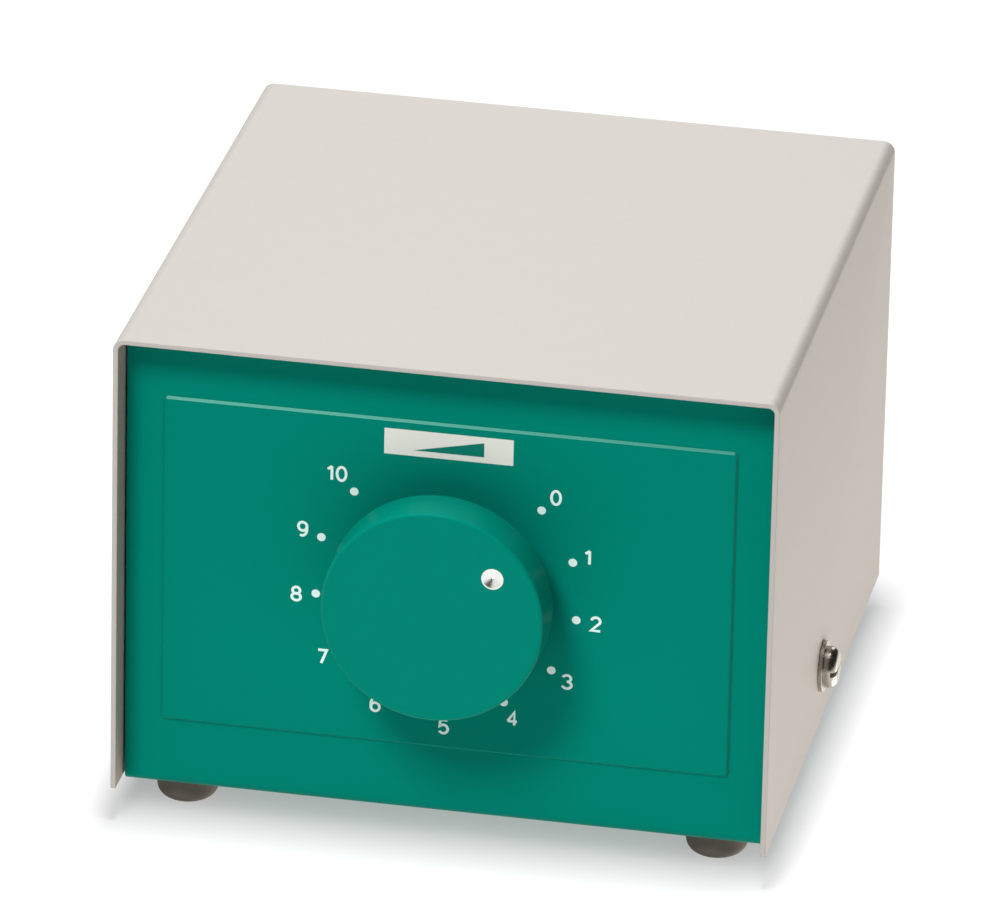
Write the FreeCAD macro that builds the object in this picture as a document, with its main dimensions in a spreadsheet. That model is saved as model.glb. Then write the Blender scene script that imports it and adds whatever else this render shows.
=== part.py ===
import FreeCAD, Part
import math
import os
import re

import Sketcher

# A bench power controller. A folded cover stands over a folded chassis tray, whose front panel
# carries a label plate and one large dial knob on a potentiometer. The rear panel carries the mains
# inlet with its fuse drawer and the mains outlet, and the control board stands on the base.
# X runs to the right as seen from the front, Y to the rear and Z up. The origin is on the table,
# under the middle of the whole, knob included.

SIZES = {
    # Cover and chassis sheets
    "cover_width": 150,
    "cover_depth": 155,
    "cover_height": 110.5,
    "cover_sheet": 1.25,
    "cover_bend": 1.5,
    "panel_recess": 7,
    "rear_recess": 7,
    "base_drop": 1,
    "side_gap": 0.5,
    "top_gap": 0.5,
    "chassis_sheet": 1.25,
    "chassis_bend": 1,
    "return_flange": 10,
    "side_flange": 24,
    "bend_relief": 3,
    "vent_width": 3.5,
    "vent_length": 14,
    "vent_pitch": 8,
    "vent_count": 7,
    "vent_row_pitch": 26,
    # Cover screws, washers and nuts
    "screw_set": 72,
    "screw_rise": 14.2,
    "cover_screw_diameter": 5,
    "cover_screw_length": 10,
    "cover_screw_head": 9.6,
    "cover_screw_head_height": 3,
    "cover_screw_dome": 2,
    "cover_slot_width": 1.2,
    "cover_slot_depth": 1.3,
    "cover_washer": 12,
    "cover_washer_sheet": 1,
    "cover_nut_flats": 8,
    "cover_nut_height": 4,
    # Small screws and nuts that the inner pieces share
    "small_screw": 3,
    "small_head": 5.5,
    "small_head_height": 2,
    "small_slot_width": 0.8,
    "small_slot_depth": 0.9,
    "small_nut_flats": 5.5,
    "small_nut_height": 2.4,
    "screw_clearance": 0.25,
    "thread_clearance": 0.05,
    "thread_end": 1,
    # Label plate on the front panel
    "label_width": 130,
    "label_height": 79.5,
    "label_sheet": 0.6,
    "label_corner": 1,
    "label_hole": 19,
    # Feet
    "foot_height": 7,
    "foot_top": 14.4,
    "foot_bottom": 13.8,
    "foot_round": 3,
    "foot_inset": 14,
    "foot_setback": 11,
    "foot_recess": 6,
    "foot_recess_depth": 3.6,
    # Knob
    "knob_diameter": 51,
    "knob_gap": 7.4,
    "knob_height": 9.8,
    "knob_taper": 0.3,
    "knob_edge": 0.8,
    "knob_wall": 2.4,
    "knob_face": 2.6,
    "knob_rib": 1.6,
    "knob_rib_set": 1.5,
    "knob_rib_count": 6,
    "knob_boss": 16,
    "knob_boss_gap": 0.8,
    "knob_rest": 51,
    "insert_diameter": 10,
    "insert_fit": 0.05,
    "marker_diameter": 5,
    "marker_depth": 1.5,
    "marker_dish": 0.9,
    "marker_rim": 0.3,
    "marker_offset": 17.5,
    "set_screw": 3,
    "set_screw_sunk": 0.6,
    "set_key_flats": 1.5,
    "set_key_depth": 1.5,
    # Potentiometer
    "shaft_diameter": 6,
    "shaft_collar": 7.6,
    "shaft_collar_sheet": 1.2,
    "shaft_tail": 4.5,
    "running_gap": 0.05,
    "end_play": 0.1,
    "bush_diameter": 10,
    "bush_length": 8.5,
    "bush_clearance": 0.15,
    "pot_flange": 22.5,
    "pot_flange_sheet": 1.2,
    "pot_diameter": 24,
    "pot_depth": 13,
    "pot_sheet": 0.8,
    "track_sheet": 1.6,
    "track_bore": 9,
    "track_tab_width": 14,
    "track_tab_reach": 3,
    "tag_width": 2.2,
    "tag_sheet": 0.6,
    "tag_pitch": 5,
    "tag_reach": 9,
    "tag_overlap": 2.5,
    "wiper_diameter": 16,
    "wiper_sheet": 1.2,
    "wiper_lift": 2,
    "wiper_finger": 2,
    "pot_washer": 16,
    "pot_washer_sheet": 0.8,
    "pot_nut_flats": 14,
    "pot_nut_height": 2.5,
    # Mains inlet and its fuse drawer
    "inlet_offset": 36,
    "inlet_flange_width": 50,
    "inlet_flange_height": 38,
    "inlet_flange_sheet": 2.5,
    "inlet_corner": 3,
    "inlet_width": 28,
    "inlet_height": 34,
    "inlet_depth": 20,
    "inlet_recess_width": 24.6,
    "inlet_recess_height": 17,
    "inlet_recess_depth": 15.5,
    "inlet_recess_rise": 6.5,
    "inlet_recess_bevel": 5,
    "inlet_screw_pitch": 40,
    "pin_width": 2,
    "pin_height": 4,
    "pin_pitch": 14,
    "pin_stagger": 2,
    "pin_setback": 1.5,
    "pin_tail": 8,
    "pin_fit": 0.05,
    "cutout_clearance": 0.4,
    "drawer_drop": 10.5,
    "drawer_width": 22.2,
    "drawer_height": 8,
    "drawer_length": 18,
    "drawer_clearance": 0.3,
    "drawer_end_gap": 1,
    "drawer_lip_width": 25,
    "drawer_lip_height": 11,
    "drawer_lip_sheet": 2,
    "drawer_lip_gap": 0.1,
    "fuse_diameter": 5,
    "fuse_length": 20,
    "fuse_room": 0.2,
    "fuse_pitch": 7.4,
    "fuse_set": 4.4,
    # Mains outlet
    "outlet_offset": 36,
    "outlet_flange": 50,
    "outlet_flange_sheet": 3,
    "outlet_corner": 4,
    "outlet_diameter": 43.5,
    "outlet_depth": 34,
    "outlet_recess": 39,
    "outlet_recess_depth": 17.5,
    "outlet_rib_width": 5.2,
    "outlet_rib_reach": 2.4,
    "outlet_rib_setback": 2,
    "outlet_screw_pitch": 38,
    "socket_pitch": 19,
    "socket_hole": 5.2,
    "socket_floor": 3,
    "contact_diameter": 6.8,
    "contact_bore": 4.9,
    "contact_tail": 4,
    "contact_end": 2,
    "contact_fit": 0.1,
    "clip_width": 4.5,
    "clip_sheet": 0.8,
    "clip_bulge": 2.6,
    "clip_bulge_set": 8,
    "clip_bend_set": 15,
    "clip_mouth_set": 1.6,
    "clip_wall_gap": 0.2,
    "clip_tail": 3,
    # Control board and what it carries
    "board_front_gap": 24,
    "board_rear_gap": 46,
    "board_side_gap": 14,
    "board_gap": 1,
    "board_sheet": 1.6,
    "board_inset": 5,
    "standoff_height": 8,
    "standoff_diameter": 6,
    "board_screw_reach": 3,
    "sink_side_gap": 9,
    "sink_width": 18,
    "sink_plate": 4,
    "sink_foot": 3,
    "sink_height": 36,
    "sink_length": 50,
    "sink_set": 8,
    "sink_fin": 1.6,
    "sink_fin_space": 5,
    "sink_fin_count": 5,
    "sink_screw_inset": 9,
    "triac_width": 10,
    "triac_thickness": 4.5,
    "triac_body": 9,
    "triac_tab": 6.5,
    "triac_tab_sheet": 1.3,
    "triac_lead": 6,
    "triac_lead_width": 0.8,
    "triac_lead_sheet": 0.6,
    "triac_lead_set": 2.2,
    "triac_lead_pitch": 2.54,
    "triac_hole_rise": 18,
    "choke_inset": 22,
    "choke_core_diameter": 30,
    "choke_core_bore": 15,
    "choke_core_height": 12,
    "choke_winding": 1.8,
    "choke_winding_gap": 0.1,
    "choke_open_angle": 60,
    "suppressor_width": 26.5,
    "suppressor_depth": 10.5,
    "suppressor_height": 19,
    "suppressor_edge": 1,
    "suppressor_inset": 23,
    "suppressor_gap": 1.5,
    "timing_width": 12.5,
    "timing_depth": 5,
    "timing_height": 10,
    "timing_edge": 0.8,
    "timing_inset": 24,
    "timing_set": 14,
    "resistor_diameter": 3.4,
    "resistor_length": 9,
    "resistor_lead": 0.8,
    "resistor_lead_span": 13,
    "resistor_lift": 0.4,
    "resistor_pitch": 5,
    "resistor_count": 4,
    "resistor_inset": 26,
    "resistor_gap": 2,
    "block_pole": 5.08,
    "block_poles": 6,
    "block_inset": 12,
    "block_edge": 3,
    "block_wall": 1,
    "block_depth": 11,
    "block_height": 13,
    "block_entry_rise": 4.5,
    "block_entry_depth": 6,
    "block_screw": 4,
    "block_screw_height": 2.5,
    "block_screw_sunk": 1.5,
    "block_screw_set": 6.5,
    # Earth point on the base and the inner wires
    "earth_setback": 12,
    "earth_screw": 4,
    "earth_screw_reach": 9,
    "earth_head": 7,
    "earth_head_height": 2.6,
    "earth_nut_flats": 7,
    "earth_nut_height": 3.2,
    "tag_ring": 8,
    "tag_plate": 0.8,
    "tag_barrel_width": 3.2,
    "tag_barrel_length": 6,
    "tag_barrel_height": 2.6,
    "wire_diameter": 2.4,
    "wire_fit": 0.05,
    "lead_wire": 1.4,
}

# Places that follow from the sizes, as formulas of their names.
knob_reach = "(knob_gap + knob_height - panel_recess)"
cover_front = f"(({knob_reach} - cover_depth) / 2)"
cover_low = "(foot_height + base_drop)"
screw_y = f"({cover_front} + screw_set)"
panel_front = f"({cover_front} + panel_recess)"
panel_back = f"({panel_front} + chassis_sheet)"
rear_face = f"({cover_front} + cover_depth - rear_recess)"
rear_inner = f"({rear_face} - chassis_sheet)"
base_top = "(foot_height + chassis_sheet)"
dial_height = f"({cover_low} + cover_height / 2)"
chassis_half = "(cover_width / 2 - cover_sheet - side_gap)"
chassis_depth = "(cover_depth - panel_recess - rear_recess)"
chassis_rise = "(cover_height + base_drop - cover_sheet - top_gap)"
foot_x = "(cover_width / 2 - foot_inset)"
foot_span = f"({chassis_depth} - 2 * foot_setback)"
sink_left = f"(-({chassis_half} - chassis_sheet - sink_side_gap))"
sink_right = f"({sink_left} + sink_width)"
board_left = f"({sink_right} + board_gap)"
board_right = f"({chassis_half} - chassis_sheet - board_side_gap)"
board_front = f"({panel_back} + board_front_gap)"
board_rear = f"({rear_inner} - board_rear_gap)"
board_top = f"({base_top} + standoff_height + board_sheet)"
sink_front = f"({board_front} + sink_set)"
earth_y = f"({rear_inner} - earth_setback)"

# Directions that a piece's own Z axis can face: up, to the front and to the rear.
UP = "rotation(vector(0; 0; 1); 0)"
FRONT = "rotation(vector(1; 0; 0); 90)"
REAR = "rotation(vector(0; 1; 1); 180)"

doc = FreeCAD.newDocument("power_controller")
sheet = doc.addObject("Spreadsheet::Sheet", "Sizes")
for row, (alias, size) in enumerate(SIZES.items(), start=1):
    sheet.set(f"A{row}", alias)
    sheet.set(f"B{row}", str(size))
    sheet.setAlias(f"B{row}", alias)
doc.recompute()

size_name = re.compile(r"\b(" + "|".join(SIZES) + r")\b")
sub_parts = []


def bound(text):
    """A formula of size names, as an expression on the sheet."""
    return size_name.sub(lambda word: f"Sizes.{word.group()}", str(text))


def number(text):
    """The value of a formula of size names."""
    return float(sheet.evalExpression(bound(text)))


def vector(x, y, z):
    return FreeCAD.Vector(number(x), number(y), number(z))


def rect(left, right, low, high):
    return [(left, low), (right, low), (right, high), (left, high)]


def disc(x, y, diameter):
    return (x, y, f"({diameter}) / 2")


def hexagon(x, y, flats):
    """A hexagon with two flats above and below its centre."""
    corner = f"({flats}) / sqrt(3)"
    side = f"({flats}) / 2"
    ends = [(1, 0), (0.5, 1), (-0.5, 1), (-1, 0), (-0.5, -1), (0.5, -1)]
    return [(f"({x}) + {across} * {corner}", f"({y}) + {up} * {side}") for across, up in ends]


def along(edge, axis):
    """Whether an edge is a straight line along an axis."""
    if not edge.Curve.TypeId.endswith("Line"):
        return False
    return abs(getattr(edge.tangentAt(edge.FirstParameter), axis)) > 0.999


def is_ring(edge, diameter, height):
    """Whether an edge is a circle of a diameter at a height of the piece."""
    if not edge.Curve.TypeId.endswith("Circle"):
        return False
    same_size = abs(2 * edge.Curve.Radius - number(diameter)) < 1e-4
    return same_size and abs(edge.Curve.Center.z - number(height)) < 1e-4


def at(value, text):
    return abs(value - number(text)) < 1e-4


class Piece:
    """One sub-part: a body with a place, and the features that make its shape."""

    def __init__(self, label, x="0", y="0", z="0", facing=UP, spin="0"):
        self.body = doc.addObject("PartDesign::Body", label)
        self.body.Label = label
        turn = f"{facing} * rotation(vector(0; 0; 1); {spin})"
        self.body.setExpression("Placement", bound(f"placement(vector({x}; {y}; {z}); {turn})"))
        sub_parts.append(self.body)

    def origin(self, role):
        return next(item for item in self.body.Origin.OriginFeatures if item.Role == role)

    def feature(self, kind, **formulas):
        made = self.body.newObject(f"PartDesign::{kind}", f"{self.body.Name}_{kind}")
        for name, text in formulas.items():
            made.setExpression(name, bound(text))
        return made

    def finish(self, made):
        self.body.Tip = made
        doc.recompute()
        return made

    def sketch(self, plane, level, outlines):
        """A sketch at a level along its plane's normal, with every point held by the sheet."""
        made = self.body.newObject("Sketcher::SketchObject", f"{self.body.Name}_sketch")
        made.AttachmentSupport = (self.origin(f"{plane}_Plane"), [""])
        made.MapMode = "FlatFace"
        made.setExpression("AttachmentOffset.Base.z", bound(level))
        for outline in outlines:
            if isinstance(outline, tuple):
                self.draw_circle(made, *outline)
            else:
                self.draw_polygon(made, outline)
        return made

    def hold(self, made, kind, line, point, text):
        index = made.addConstraint(Sketcher.Constraint(kind, -1, 1, line, point, number(text)))
        made.setExpression(f"Constraints[{index}]", bound(text))

    def draw_circle(self, made, x, y, radius):
        centre = vector(x, y, 0)
        circle = made.addGeometry(Part.Circle(centre, FreeCAD.Vector(0, 0, 1), number(radius)), False)
        index = made.addConstraint(Sketcher.Constraint("Radius", circle, number(radius)))
        made.setExpression(f"Constraints[{index}]", bound(radius))
        self.hold(made, "DistanceX", circle, 3, x)
        self.hold(made, "DistanceY", circle, 3, y)

    def draw_polygon(self, made, points):
        corners = [vector(x, y, 0) for x, y in points]
        lines = []
        for start, end in zip(corners, corners[1:] + corners[:1]):
            lines.append(made.addGeometry(Part.LineSegment(start, end), False))
        for line, after in zip(lines, lines[1:] + lines[:1]):
            made.addConstraint(Sketcher.Constraint("Coincident", line, 2, after, 1))
        for line, (x, y) in zip(lines, points):
            self.hold(made, "DistanceX", line, 1, x)
            self.hold(made, "DistanceY", line, 1, y)

    def pad(self, plane, low, high, *outlines):
        """Adds outlines from a low to a high place along the axis square to their plane."""
        level = f"-({high})" if plane == "XZ" else low
        profile = self.sketch(plane, level, outlines)
        made = self.feature("Pad", Length=f"({high}) - ({low})")
        made.Profile = profile
        return self.finish(made)

    def pocket(self, plane, low, high, *outlines):
        """Cuts outlines from a low to a high place along the axis square to their plane."""
        before = self.body.Shape.Volume
        level = f"-({low})" if plane == "XZ" else high
        profile = self.sketch(plane, level, outlines)
        made = self.feature("Pocket", Length=f"({high}) - ({low})")
        made.Profile = profile
        self.finish(made)
        if self.body.Shape.Volume > before - 1e-6:
            raise RuntimeError(f"{self.body.Label}: a pocket cuts nothing")
        return made

    def turn(self, axis, outline, angle="360"):
        """Revolves an outline of the XZ plane about its X or Z axis."""
        profile = self.sketch("XZ", "0", [outline])
        made = self.feature("Revolution", Angle=angle)
        made.Profile = profile
        made.ReferenceAxis = (self.origin(f"{axis}_Axis"), [""])
        return self.finish(made)

    def fillet(self, radius, chosen):
        base = self.body.Tip
        names = [f"Edge{index}" for index, edge in enumerate(base.Shape.Edges, 1) if chosen(edge)]
        made = self.feature("Fillet", Radius=radius)
        made.Base = (base, names)
        return self.finish(made)

    def row(self, axis, length, count, *features):
        """Repeats features, or the whole shape, along an axis over a length."""
        made = self.feature("LinearPattern", Length=length, Occurrences=count)
        made.Direction = (self.origin(f"{axis}_Axis"), [""])
        return self.repeat(made, features)

    def grid(self, width, across, depth, deep, *features):
        """Repeats features, or the whole shape, along X and along Y."""
        made = self.feature(
            "LinearPattern", Length=width, Occurrences=across, Length2=depth, Occurrences2=deep
        )
        made.Direction = (self.origin("X_Axis"), [""])
        made.Direction2 = (self.origin("Y_Axis"), [""])
        return self.repeat(made, features)

    def ring(self, count, feature):
        made = self.feature("PolarPattern", Occurrences=count)
        made.Axis = (self.origin("Z_Axis"), [""])
        made.Angle = 360
        return self.repeat(made, [feature])

    def mirror(self, plane, *features):
        made = self.feature("Mirrored")
        made.MirrorPlane = (self.origin(f"{plane}_Plane"), [""])
        return self.repeat(made, features)

    def repeat(self, made, features):
        if features:
            made.Originals = list(features)
        else:
            made.TransformMode = "Whole shape"
        return self.finish(made)


def screw(piece, seat, length, diameter, head, head_height, slot_width, slot_depth):
    """A slotted screw along Z, whose head stands below its seat and whose shank runs up."""
    low = f"({seat}) - {head_height}"
    outline = [
        ("0", low),
        (f"{head} / 2", low),
        (f"{head} / 2", seat),
        (f"{diameter} / 2", seat),
        (f"{diameter} / 2", f"({seat}) + {length}"),
        ("0", f"({seat}) + {length}"),
    ]
    piece.turn("Z", outline)
    slot = rect(f"-{head}", head, f"-{slot_width} / 2", f"{slot_width} / 2")
    piece.pocket("XY", low, f"{low} + {slot_depth}", slot)


def small_screw(piece, seat, length):
    screw(
        piece, seat, length, "small_screw", "small_head", "small_head_height",
        "small_slot_width", "small_slot_depth",
    )


# Cover: one sheet folded over the top and both sides, with a screw hole low in each side.
cover = Piece("cover", y=cover_front, z=cover_low)
cover_half = "cover_width / 2"
cover_inner = "(cover_width / 2 - cover_sheet)"
cover_roof = "(cover_height - cover_sheet)"
cover.pad("XZ", "0", "cover_depth", [
    (f"-{cover_half}", "0"),
    (f"-{cover_inner}", "0"),
    (f"-{cover_inner}", cover_roof),
    (cover_inner, cover_roof),
    (cover_inner, "0"),
    (cover_half, "0"),
    (cover_half, "cover_height"),
    (f"-{cover_half}", "cover_height"),
])
cover.fillet(
    "cover_bend + cover_sheet",
    lambda edge: along(edge, "y") and at(edge.CenterOfMass.z, "cover_height"),
)
cover.fillet(
    "cover_bend",
    lambda edge: along(edge, "y") and at(edge.CenterOfMass.z, cover_roof)
    and at(abs(edge.CenterOfMass.x), cover_inner),
)
cover_hole = "cover_screw_diameter + 2 * screw_clearance"
cover.pocket(
    "YZ", f"-{cover_half}", cover_half, disc("screw_set", "screw_rise", cover_hole)
)

# Chassis: one sheet folded as front panel, base and rear panel, with returns along the top of both
# panels and a flange turned up along each side of the base.
chassis = Piece("chassis", y=panel_front, z="foot_height")
dial_rise = "(cover_height / 2 + base_drop)"
rear_in = f"({chassis_depth} - chassis_sheet)"
panel_top = f"({chassis_rise} - chassis_sheet)"
chassis.pad("YZ", f"-{chassis_half}", chassis_half, [
    ("0", "0"),
    (chassis_depth, "0"),
    (chassis_depth, chassis_rise),
    (f"{chassis_depth} - return_flange", chassis_rise),
    (f"{chassis_depth} - return_flange", panel_top),
    (rear_in, panel_top),
    (rear_in, "chassis_sheet"),
    ("chassis_sheet", "chassis_sheet"),
    ("chassis_sheet", panel_top),
    ("return_flange", panel_top),
    ("return_flange", chassis_rise),
    ("0", chassis_rise),
])


def on_bend(edge, low_y, high_y, low_z, high_z):
    """Whether an edge across the chassis is at one of the four bends."""
    place = edge.CenterOfMass
    beside = at(place.y, low_y) or at(place.y, high_y)
    return along(edge, "x") and beside and (at(place.z, low_z) or at(place.z, high_z))


chassis.fillet(
    "chassis_bend + chassis_sheet",
    lambda edge: on_bend(edge, "0", chassis_depth, "0", chassis_rise),
)
chassis.fillet(
    "chassis_bend",
    lambda edge: on_bend(edge, "chassis_sheet", rear_in, "chassis_sheet", panel_top),
)
relief_start = "(chassis_sheet + chassis_bend)"
flange_start = f"({relief_start} + bend_relief)"
flange_foot = f"({chassis_half} - chassis_sheet - chassis_bend)"
relief = chassis.pocket(
    "XY", "0", "chassis_sheet",
    rect(flange_foot, chassis_half, relief_start, flange_start),
    rect(
        flange_foot, chassis_half,
        f"{chassis_depth} - {flange_start}", f"{chassis_depth} - {relief_start}",
    ),
)
flange = chassis.pad(
    "XZ", flange_start, f"{chassis_depth} - {flange_start}",
    rect(f"{chassis_half} - chassis_sheet", chassis_half, "0", "side_flange"),
)
chassis.mirror("YZ", relief, flange)
chassis.fillet(
    "chassis_bend + chassis_sheet",
    lambda edge: along(edge, "y") and at(edge.CenterOfMass.z, "0")
    and at(abs(edge.CenterOfMass.x), chassis_half) and at(edge.CenterOfMass.y, f"{chassis_depth} / 2"),
)
chassis.fillet(
    "chassis_bend",
    lambda edge: along(edge, "y") and at(edge.CenterOfMass.z, "chassis_sheet")
    and at(abs(edge.CenterOfMass.x), f"{chassis_half} - chassis_sheet"),
)
chassis.pocket(
    "YZ", f"-{chassis_half}", chassis_half,
    disc("screw_set - panel_recess", "screw_rise + base_drop", cover_hole),
)
chassis.pocket(
    "XZ", "0", "chassis_sheet", disc("0", dial_rise, "bush_diameter + 2 * bush_clearance")
)
small_hole = "small_screw + 2 * screw_clearance"
inlet_cut_half = "(inlet_width / 2 + cutout_clearance)"
chassis.pocket(
    "XZ", rear_in, chassis_depth,
    rect(
        f"inlet_offset - {inlet_cut_half}", f"inlet_offset + {inlet_cut_half}",
        f"{dial_rise} - inlet_height / 2 - cutout_clearance",
        f"{dial_rise} + inlet_height / 2 + cutout_clearance",
    ),
    disc("inlet_offset - inlet_screw_pitch / 2", dial_rise, small_hole),
    disc("inlet_offset + inlet_screw_pitch / 2", dial_rise, small_hole),
    disc("-outlet_offset", dial_rise, "outlet_diameter + 2 * cutout_clearance"),
    *[
        disc(f"-outlet_offset {x} outlet_screw_pitch / 2", f"{dial_rise} {z} outlet_screw_pitch / 2",
             small_hole)
        for x in "+-" for z in "+-"
    ],
)
board_front_local = f"({board_front} - {panel_front})"
board_rear_local = f"({board_rear} - {panel_front})"
sink_screw_x = f"({sink_left} + (sink_width - sink_plate) / 2)"
sink_screw_y = f"({sink_front} - {panel_front} + sink_screw_inset)"
chassis.pocket(
    "XY", "0", "chassis_sheet",
    *[
        disc(f"{x}{foot_x}", y, small_hole)
        for x in ("", "-") for y in ("foot_setback", f"{chassis_depth} - foot_setback")
    ],
    *[
        disc(x, y, small_hole)
        for x in (f"{board_left} + board_inset", f"{board_right} - board_inset")
        for y in (f"{board_front_local} + board_inset", f"{board_rear_local} - board_inset")
    ],
    disc(sink_screw_x, sink_screw_y, small_hole),
    disc(sink_screw_x, f"{sink_screw_y} + sink_length - 2 * sink_screw_inset", small_hole),
    disc("0", f"{earth_y} - {panel_front}", "earth_screw + 2 * screw_clearance"),
)
vent_x = f"(({board_left} + {board_right}) / 2 - vent_pitch * (vent_count - 1) / 2)"
vent_y = f"(({board_front_local} + {board_rear_local}) / 2 - vent_row_pitch / 2)"
vent = chassis.pocket(
    "XY", "0", "chassis_sheet",
    rect(
        f"{vent_x} - vent_width / 2", f"{vent_x} + vent_width / 2",
        f"{vent_y} - vent_length / 2", f"{vent_y} + vent_length / 2",
    ),
)
chassis.grid("vent_pitch * (vent_count - 1)", "vent_count", "vent_row_pitch", "2", vent)

# Label plate: thin, rounded at its corners, open round the potentiometer's nut.
label = Piece("front_label", y=panel_front, z=dial_height)
label.pad(
    "XZ", "-label_sheet", "0",
    rect("-label_width / 2", "label_width / 2", "-label_height / 2", "label_height / 2"),
)
label.fillet("label_corner", lambda edge: along(edge, "y"))
label.pocket("XZ", "-label_sheet", "0", disc("0", "0", "label_hole"))

# Cover screws: a slotted domed head on a washer at each side, in a nut on the chassis flange.
cover_screws = Piece("cover_screws", y=screw_y, z=f"{cover_low} + screw_rise")
head_seat = "(cover_width / 2 + cover_washer_sheet)"
head_top = f"({head_seat} + cover_screw_head_height)"
cover_screws.turn("X", [
    (f"{head_seat} - cover_screw_length", "0"),
    (head_top, "0"),
    (head_top, "cover_screw_head / 2"),
    (head_seat, "cover_screw_head / 2"),
    (head_seat, "cover_screw_diameter / 2"),
    (f"{head_seat} - cover_screw_length", "cover_screw_diameter / 2"),
])
cover_screws.fillet(
    "cover_screw_dome",
    lambda edge: edge.Curve.TypeId.endswith("Circle") and at(edge.Curve.Center.x, head_top),
)
cover_screws.pocket(
    "YZ", f"{head_top} - cover_slot_depth", head_top,
    rect("-cover_screw_head", "cover_screw_head", "-cover_slot_width / 2", "cover_slot_width / 2"),
)
cover_screws.mirror("YZ")

cover_washers = Piece("cover_washers", y=screw_y, z=f"{cover_low} + screw_rise")
cover_washers.pad(
    "YZ", "cover_width / 2", head_seat, disc("0", "0", "cover_washer"), disc("0", "0", cover_hole)
)
cover_washers.mirror("YZ")

cover_nuts = Piece("cover_nuts", y=screw_y, z=f"{cover_low} + screw_rise")
nut_face = f"({chassis_half} - chassis_sheet)"
cover_nuts.pad(
    "YZ", f"{nut_face} - cover_nut_height", nut_face,
    hexagon("0", "0", "cover_nut_flats"),
    disc("0", "0", "cover_screw_diameter + 2 * thread_clearance"),
)
cover_nuts.mirror("YZ")

# Feet: domed rubber, hollow below for the head of the screw that holds them.
foot_places = {
    "foot_front_left": (f"-{foot_x}", f"{panel_front} + foot_setback"),
    "foot_front_right": (foot_x, f"{panel_front} + foot_setback"),
    "foot_rear_left": (f"-{foot_x}", f"{rear_face} - foot_setback"),
    "foot_rear_right": (foot_x, f"{rear_face} - foot_setback"),
}
for foot_name, (x, y) in foot_places.items():
    foot = Piece(foot_name, x=x, y=y)
    foot.turn("Z", [
        ("foot_recess / 2", "0"),
        ("foot_bottom / 2", "0"),
        ("foot_top / 2", "foot_height"),
        ("small_screw / 2 + screw_clearance", "foot_height"),
        ("small_screw / 2 + screw_clearance", "foot_recess_depth"),
        ("foot_recess / 2", "foot_recess_depth"),
    ])
    foot.fillet("foot_round", lambda edge: is_ring(edge, "foot_bottom", "0"))

foot_screws = Piece("foot_screws", x=f"-{foot_x}", y=f"{panel_front} + foot_setback")
foot_grip = "(foot_height - foot_recess_depth + chassis_sheet + small_nut_height)"
small_screw(foot_screws, "foot_recess_depth", f"({foot_grip} + thread_end)")
foot_screws.grid(f"2 * {foot_x}", "2", foot_span, "2")

foot_nuts = Piece("foot_nuts", x=f"-{foot_x}", y=f"{panel_front} + foot_setback", z=base_top)
small_bore = "small_screw + 2 * thread_clearance"
foot_nuts.pad(
    "XY", "0", "small_nut_height", hexagon("0", "0", "small_nut_flats"), disc("0", "0", small_bore)
)
foot_nuts.grid(f"2 * {foot_x}", "2", foot_span, "2")

# Knob: a moulded cap, hollow behind, with ribs from its rim to a boss that holds a brass insert.
knob_top = "(knob_gap + knob_height)"
knob_roof = f"({knob_top} - knob_face)"
boss_low = "(bush_length - chassis_sheet + knob_boss_gap)"
rim_inner = "(knob_diameter / 2 - knob_wall)"
insert_bore = "(insert_diameter / 2 + insert_fit)"
set_screw_z = f"(({boss_low} + {knob_roof}) / 2)"
set_hole = "set_screw + 2 * thread_clearance"
on_dial = {"y": panel_front, "z": dial_height, "facing": FRONT, "spin": "-knob_rest"}
knob = Piece("knob", **on_dial)
knob.turn("Z", [
    (insert_bore, boss_low),
    ("knob_boss / 2", boss_low),
    ("knob_boss / 2", knob_roof),
    (rim_inner, knob_roof),
    (rim_inner, "knob_gap"),
    ("knob_diameter / 2", "knob_gap"),
    ("knob_diameter / 2 - knob_taper", knob_top),
    ("0", knob_top),
    ("0", knob_roof),
    (insert_bore, knob_roof),
])
knob.fillet("knob_edge", lambda edge: is_ring(edge, "knob_diameter - 2 * knob_taper", knob_top))
rib = knob.pad(
    "XY", "knob_gap + knob_rib_set + knob_boss_gap", knob_roof,
    rect("knob_boss / 2 - knob_rib / 2", f"{rim_inner} + knob_rib / 2", "-knob_rib / 2", "knob_rib / 2"),
)
knob.ring("knob_rib_count", rib)
knob.pocket(
    "XY", f"{knob_top} - marker_depth", knob_top,
    disc("0", "marker_offset", "marker_diameter + 2 * insert_fit"),
)
knob.pocket("XZ", "-knob_diameter / 2", "-shaft_diameter / 2", disc("0", set_screw_z, set_hole))

insert = Piece("knob_insert", **on_dial)
insert.pad(
    "XY", boss_low, knob_roof,
    disc("0", "0", "insert_diameter"), disc("0", "0", "shaft_diameter + 2 * insert_fit"),
)
insert.pocket("XZ", "-insert_diameter", "-shaft_diameter / 4", disc("0", set_screw_z, set_hole))

set_screw = Piece("knob_set_screw", **on_dial)
set_outer = "(knob_boss / 2 - set_screw_sunk)"
set_screw.pad(
    "XZ", f"-{set_outer}", "-(shaft_diameter / 2 + thread_clearance)",
    disc("0", set_screw_z, "set_screw"),
)
set_screw.pocket(
    "XZ", f"-{set_outer}", f"-{set_outer} + set_key_depth", hexagon("0", set_screw_z, "set_key_flats")
)

marker = Piece(
    "knob_marker", x="marker_offset * sin(knob_rest)", y=panel_front,
    z=f"{dial_height} + marker_offset * cos(knob_rest)", facing=FRONT,
)
marker.turn("Z", [
    ("0", f"{knob_top} - marker_depth"),
    ("marker_diameter / 2", f"{knob_top} - marker_depth"),
    ("marker_diameter / 2", knob_top),
    ("marker_diameter / 2 - marker_rim", knob_top),
    ("0", f"{knob_top} - marker_dish"),
])

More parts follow.
